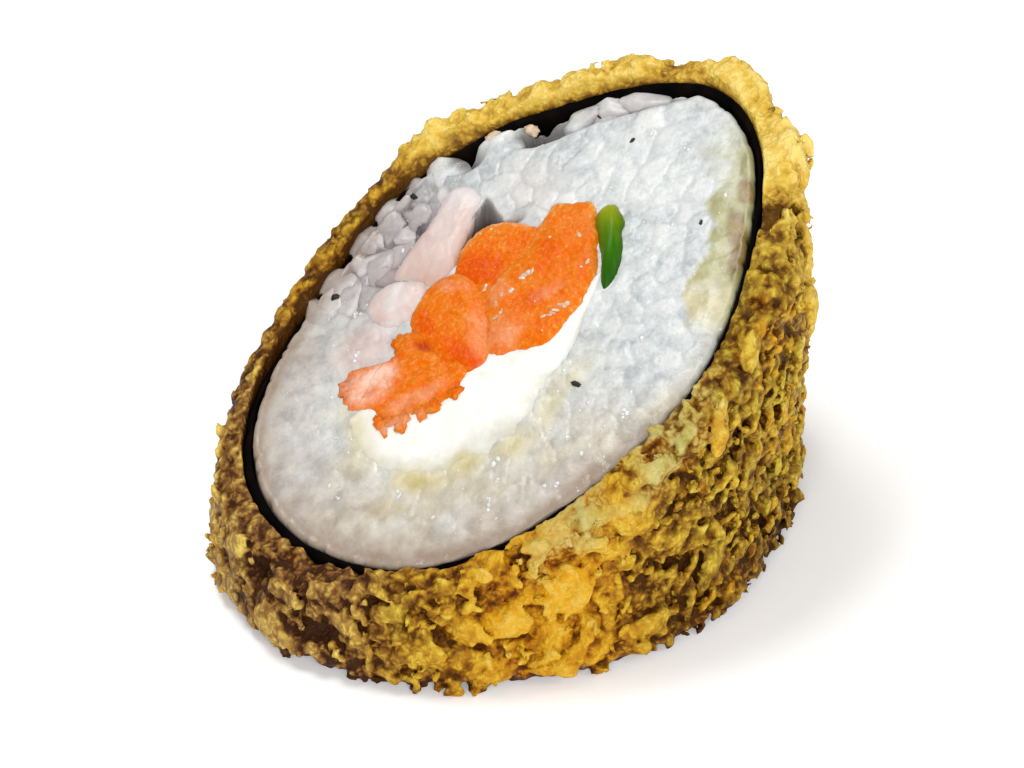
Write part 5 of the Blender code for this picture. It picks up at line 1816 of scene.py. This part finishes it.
def specks():
    """Dark flecks and beige crumbs that lie on the cut: x, y, length, width, turn."""
    verts, tris = ICO[3]
    groups = {
        "dark_specks": (((4.8, -7.1, 0.95, 0.42, -40), (-13.4, 8.1, 0.8, 0.5, -10), (-6.9, 14.3, 0.7, 0.4, -50),
                         (10.3, 11.5, 0.45, 0.3, 20), (15.0, 2.3, 0.40, 0.25, 60), (7.9, 15.3, 0.5, 0.18, -60)), (0.020, 0.016, 0.010)),
        "beige_crumbs": (((2.4, 16.0, 1.5, 0.9, -45), (-0.7, 16.7, 1.6, 1.0, 10)), (0.62, 0.47, 0.32)),
    }
    for name, (items, colour) in groups.items():
        pts, fcs = [], []
        for k, (x, y, length, width, turn) in enumerate(items):
            hit = probe(x, y)
            c = hit[0] if hit is not None else on_cut(x, y, -0.8)
            if name == "beige_crumbs" and y > 14:
                c = on_cut(x, y, -0.55)
            e1, e2, e3 = face_frame(turn, 0)
            shape = noisy_shape(verts, 1.0, 700 + k, 0.5)
            w = c + 0.5 * (length * shape[:, :1] * e1 + width * shape[:, 1:2] * e2 + min(width, 0.5) * shape[:, 2:3] * e3)
            pts.append(w)
            fcs.append(tris + k * len(verts))
        look = Look(name)
        look.set(Base_Color=look.ramp(look.noise(0.5, 2.0), [(0.3, tuple(0.7 * q for q in colour)), (0.7, tuple(1.2 * q for q in colour))]), Roughness=0.5, Specular_IOR_Level=0.3)
        add_mesh(name, np.concatenate(pts), np.concatenate(fcs), look.mat)


specks()

# ---------------------------------------------------------------- floor, light, camera
floor_mesh = bpy.data.meshes.new("floor")
bm = bmesh.new()
bmesh.ops.create_grid(bm, x_segments=1, y_segments=1, size=1.5)
bm.to_mesh(floor_mesh)
bm.free()
floor = bpy.data.objects.new("floor", floor_mesh)
bpy.context.scene.collection.objects.link(floor)
floor.location = (0.0, 0.0, -0.00002)
k = Look("pale_floor")
k.set(Base_Color=k.ramp(k.noise(60.0, 2.0), [(0.3, (0.955, 0.955, 0.955)), (0.7, (0.97, 0.97, 0.97))]), Roughness=0.60, Specular_IOR_Level=0.10,
      Emission_Color=(1.0, 1.0, 1.0), Emission_Strength=0.17)
floor_mesh.materials.append(k.mat)


def area_light(name, at, aim, size, power, colour=(1.0, 1.0, 1.0)):
    data = bpy.data.lights.new(name, "AREA")
    data.shape = "RECTANGLE"
    data.size, data.size_y = size
    data.energy = power
    data.color = colour
    ob = bpy.data.objects.new(name, data)
    bpy.context.scene.collection.objects.link(ob)
    ob.location = at
    ob.rotation_mode = "QUATERNION"
    ob.rotation_quaternion = (Vector(aim) - Vector(at)).to_track_quat("-Z", "Y")
    return ob


area_light("overhead", (-0.10, 0.10, 0.40), (0, 0, 0.015), (0.20, 0.16), 1.00)
area_light("front", (0.02, -0.42, 0.24), (0, 0, 0.010), (0.40, 0.20), 1.45)
area_light("right", (0.36, -0.12, 0.20), (0, 0, 0.012), (0.16, 0.20), 0.45)

world = bpy.data.worlds.new("studio")
world.use_nodes = True
world.node_tree.nodes["Background"].inputs["Color"].default_value = (1.0, 1.0, 1.0, 1.0)
world.node_tree.nodes["Background"].inputs["Strength"].default_value = 0.28
bpy.context.scene.world = world

scene = bpy.context.scene
scene.view_settings.view_transform = "Standard"
scene.view_settings.look = "None"
scene.view_settings.exposure = 0.0
scene.view_settings.gamma = 1.0

CAMERA_AT = Vector((0.46, -320.366, 254.044)) * MM
CAMERA_AIM = Vector((0.46, -0.01, 13.2)) * MM
ROLL = math.radians(-3.04)
forward = (CAMERA_AIM - CAMERA_AT).normalized()
right = forward.cross(Vector((0, 0, 1))).normalized()
up = right.cross(forward)
right2 = math.cos(ROLL) * right + math.sin(ROLL) * up
up2 = -math.sin(ROLL) * right + math.cos(ROLL) * up
cam_data = bpy.data.cameras.new("camera")
cam_data.sensor_fit = "HORIZONTAL"
cam_data.sensor_width = 36.0
cam_data.lens = 182.8125
cam_data.clip_start, cam_data.clip_end = 0.01, 10.0
camera = bpy.data.objects.new("camera", cam_data)
scene.collection.objects.link(camera)
camera.matrix_world = Matrix((
    (right2.x, up2.x, -forward.x, CAMERA_AT.x),
    (right2.y, up2.y, -forward.y, CAMERA_AT.y),
    (right2.z, up2.z, -forward.z, CAMERA_AT.z),
    (0, 0, 0, 1),
))
scene.camera = camera

bpy.context.view_layer.update()
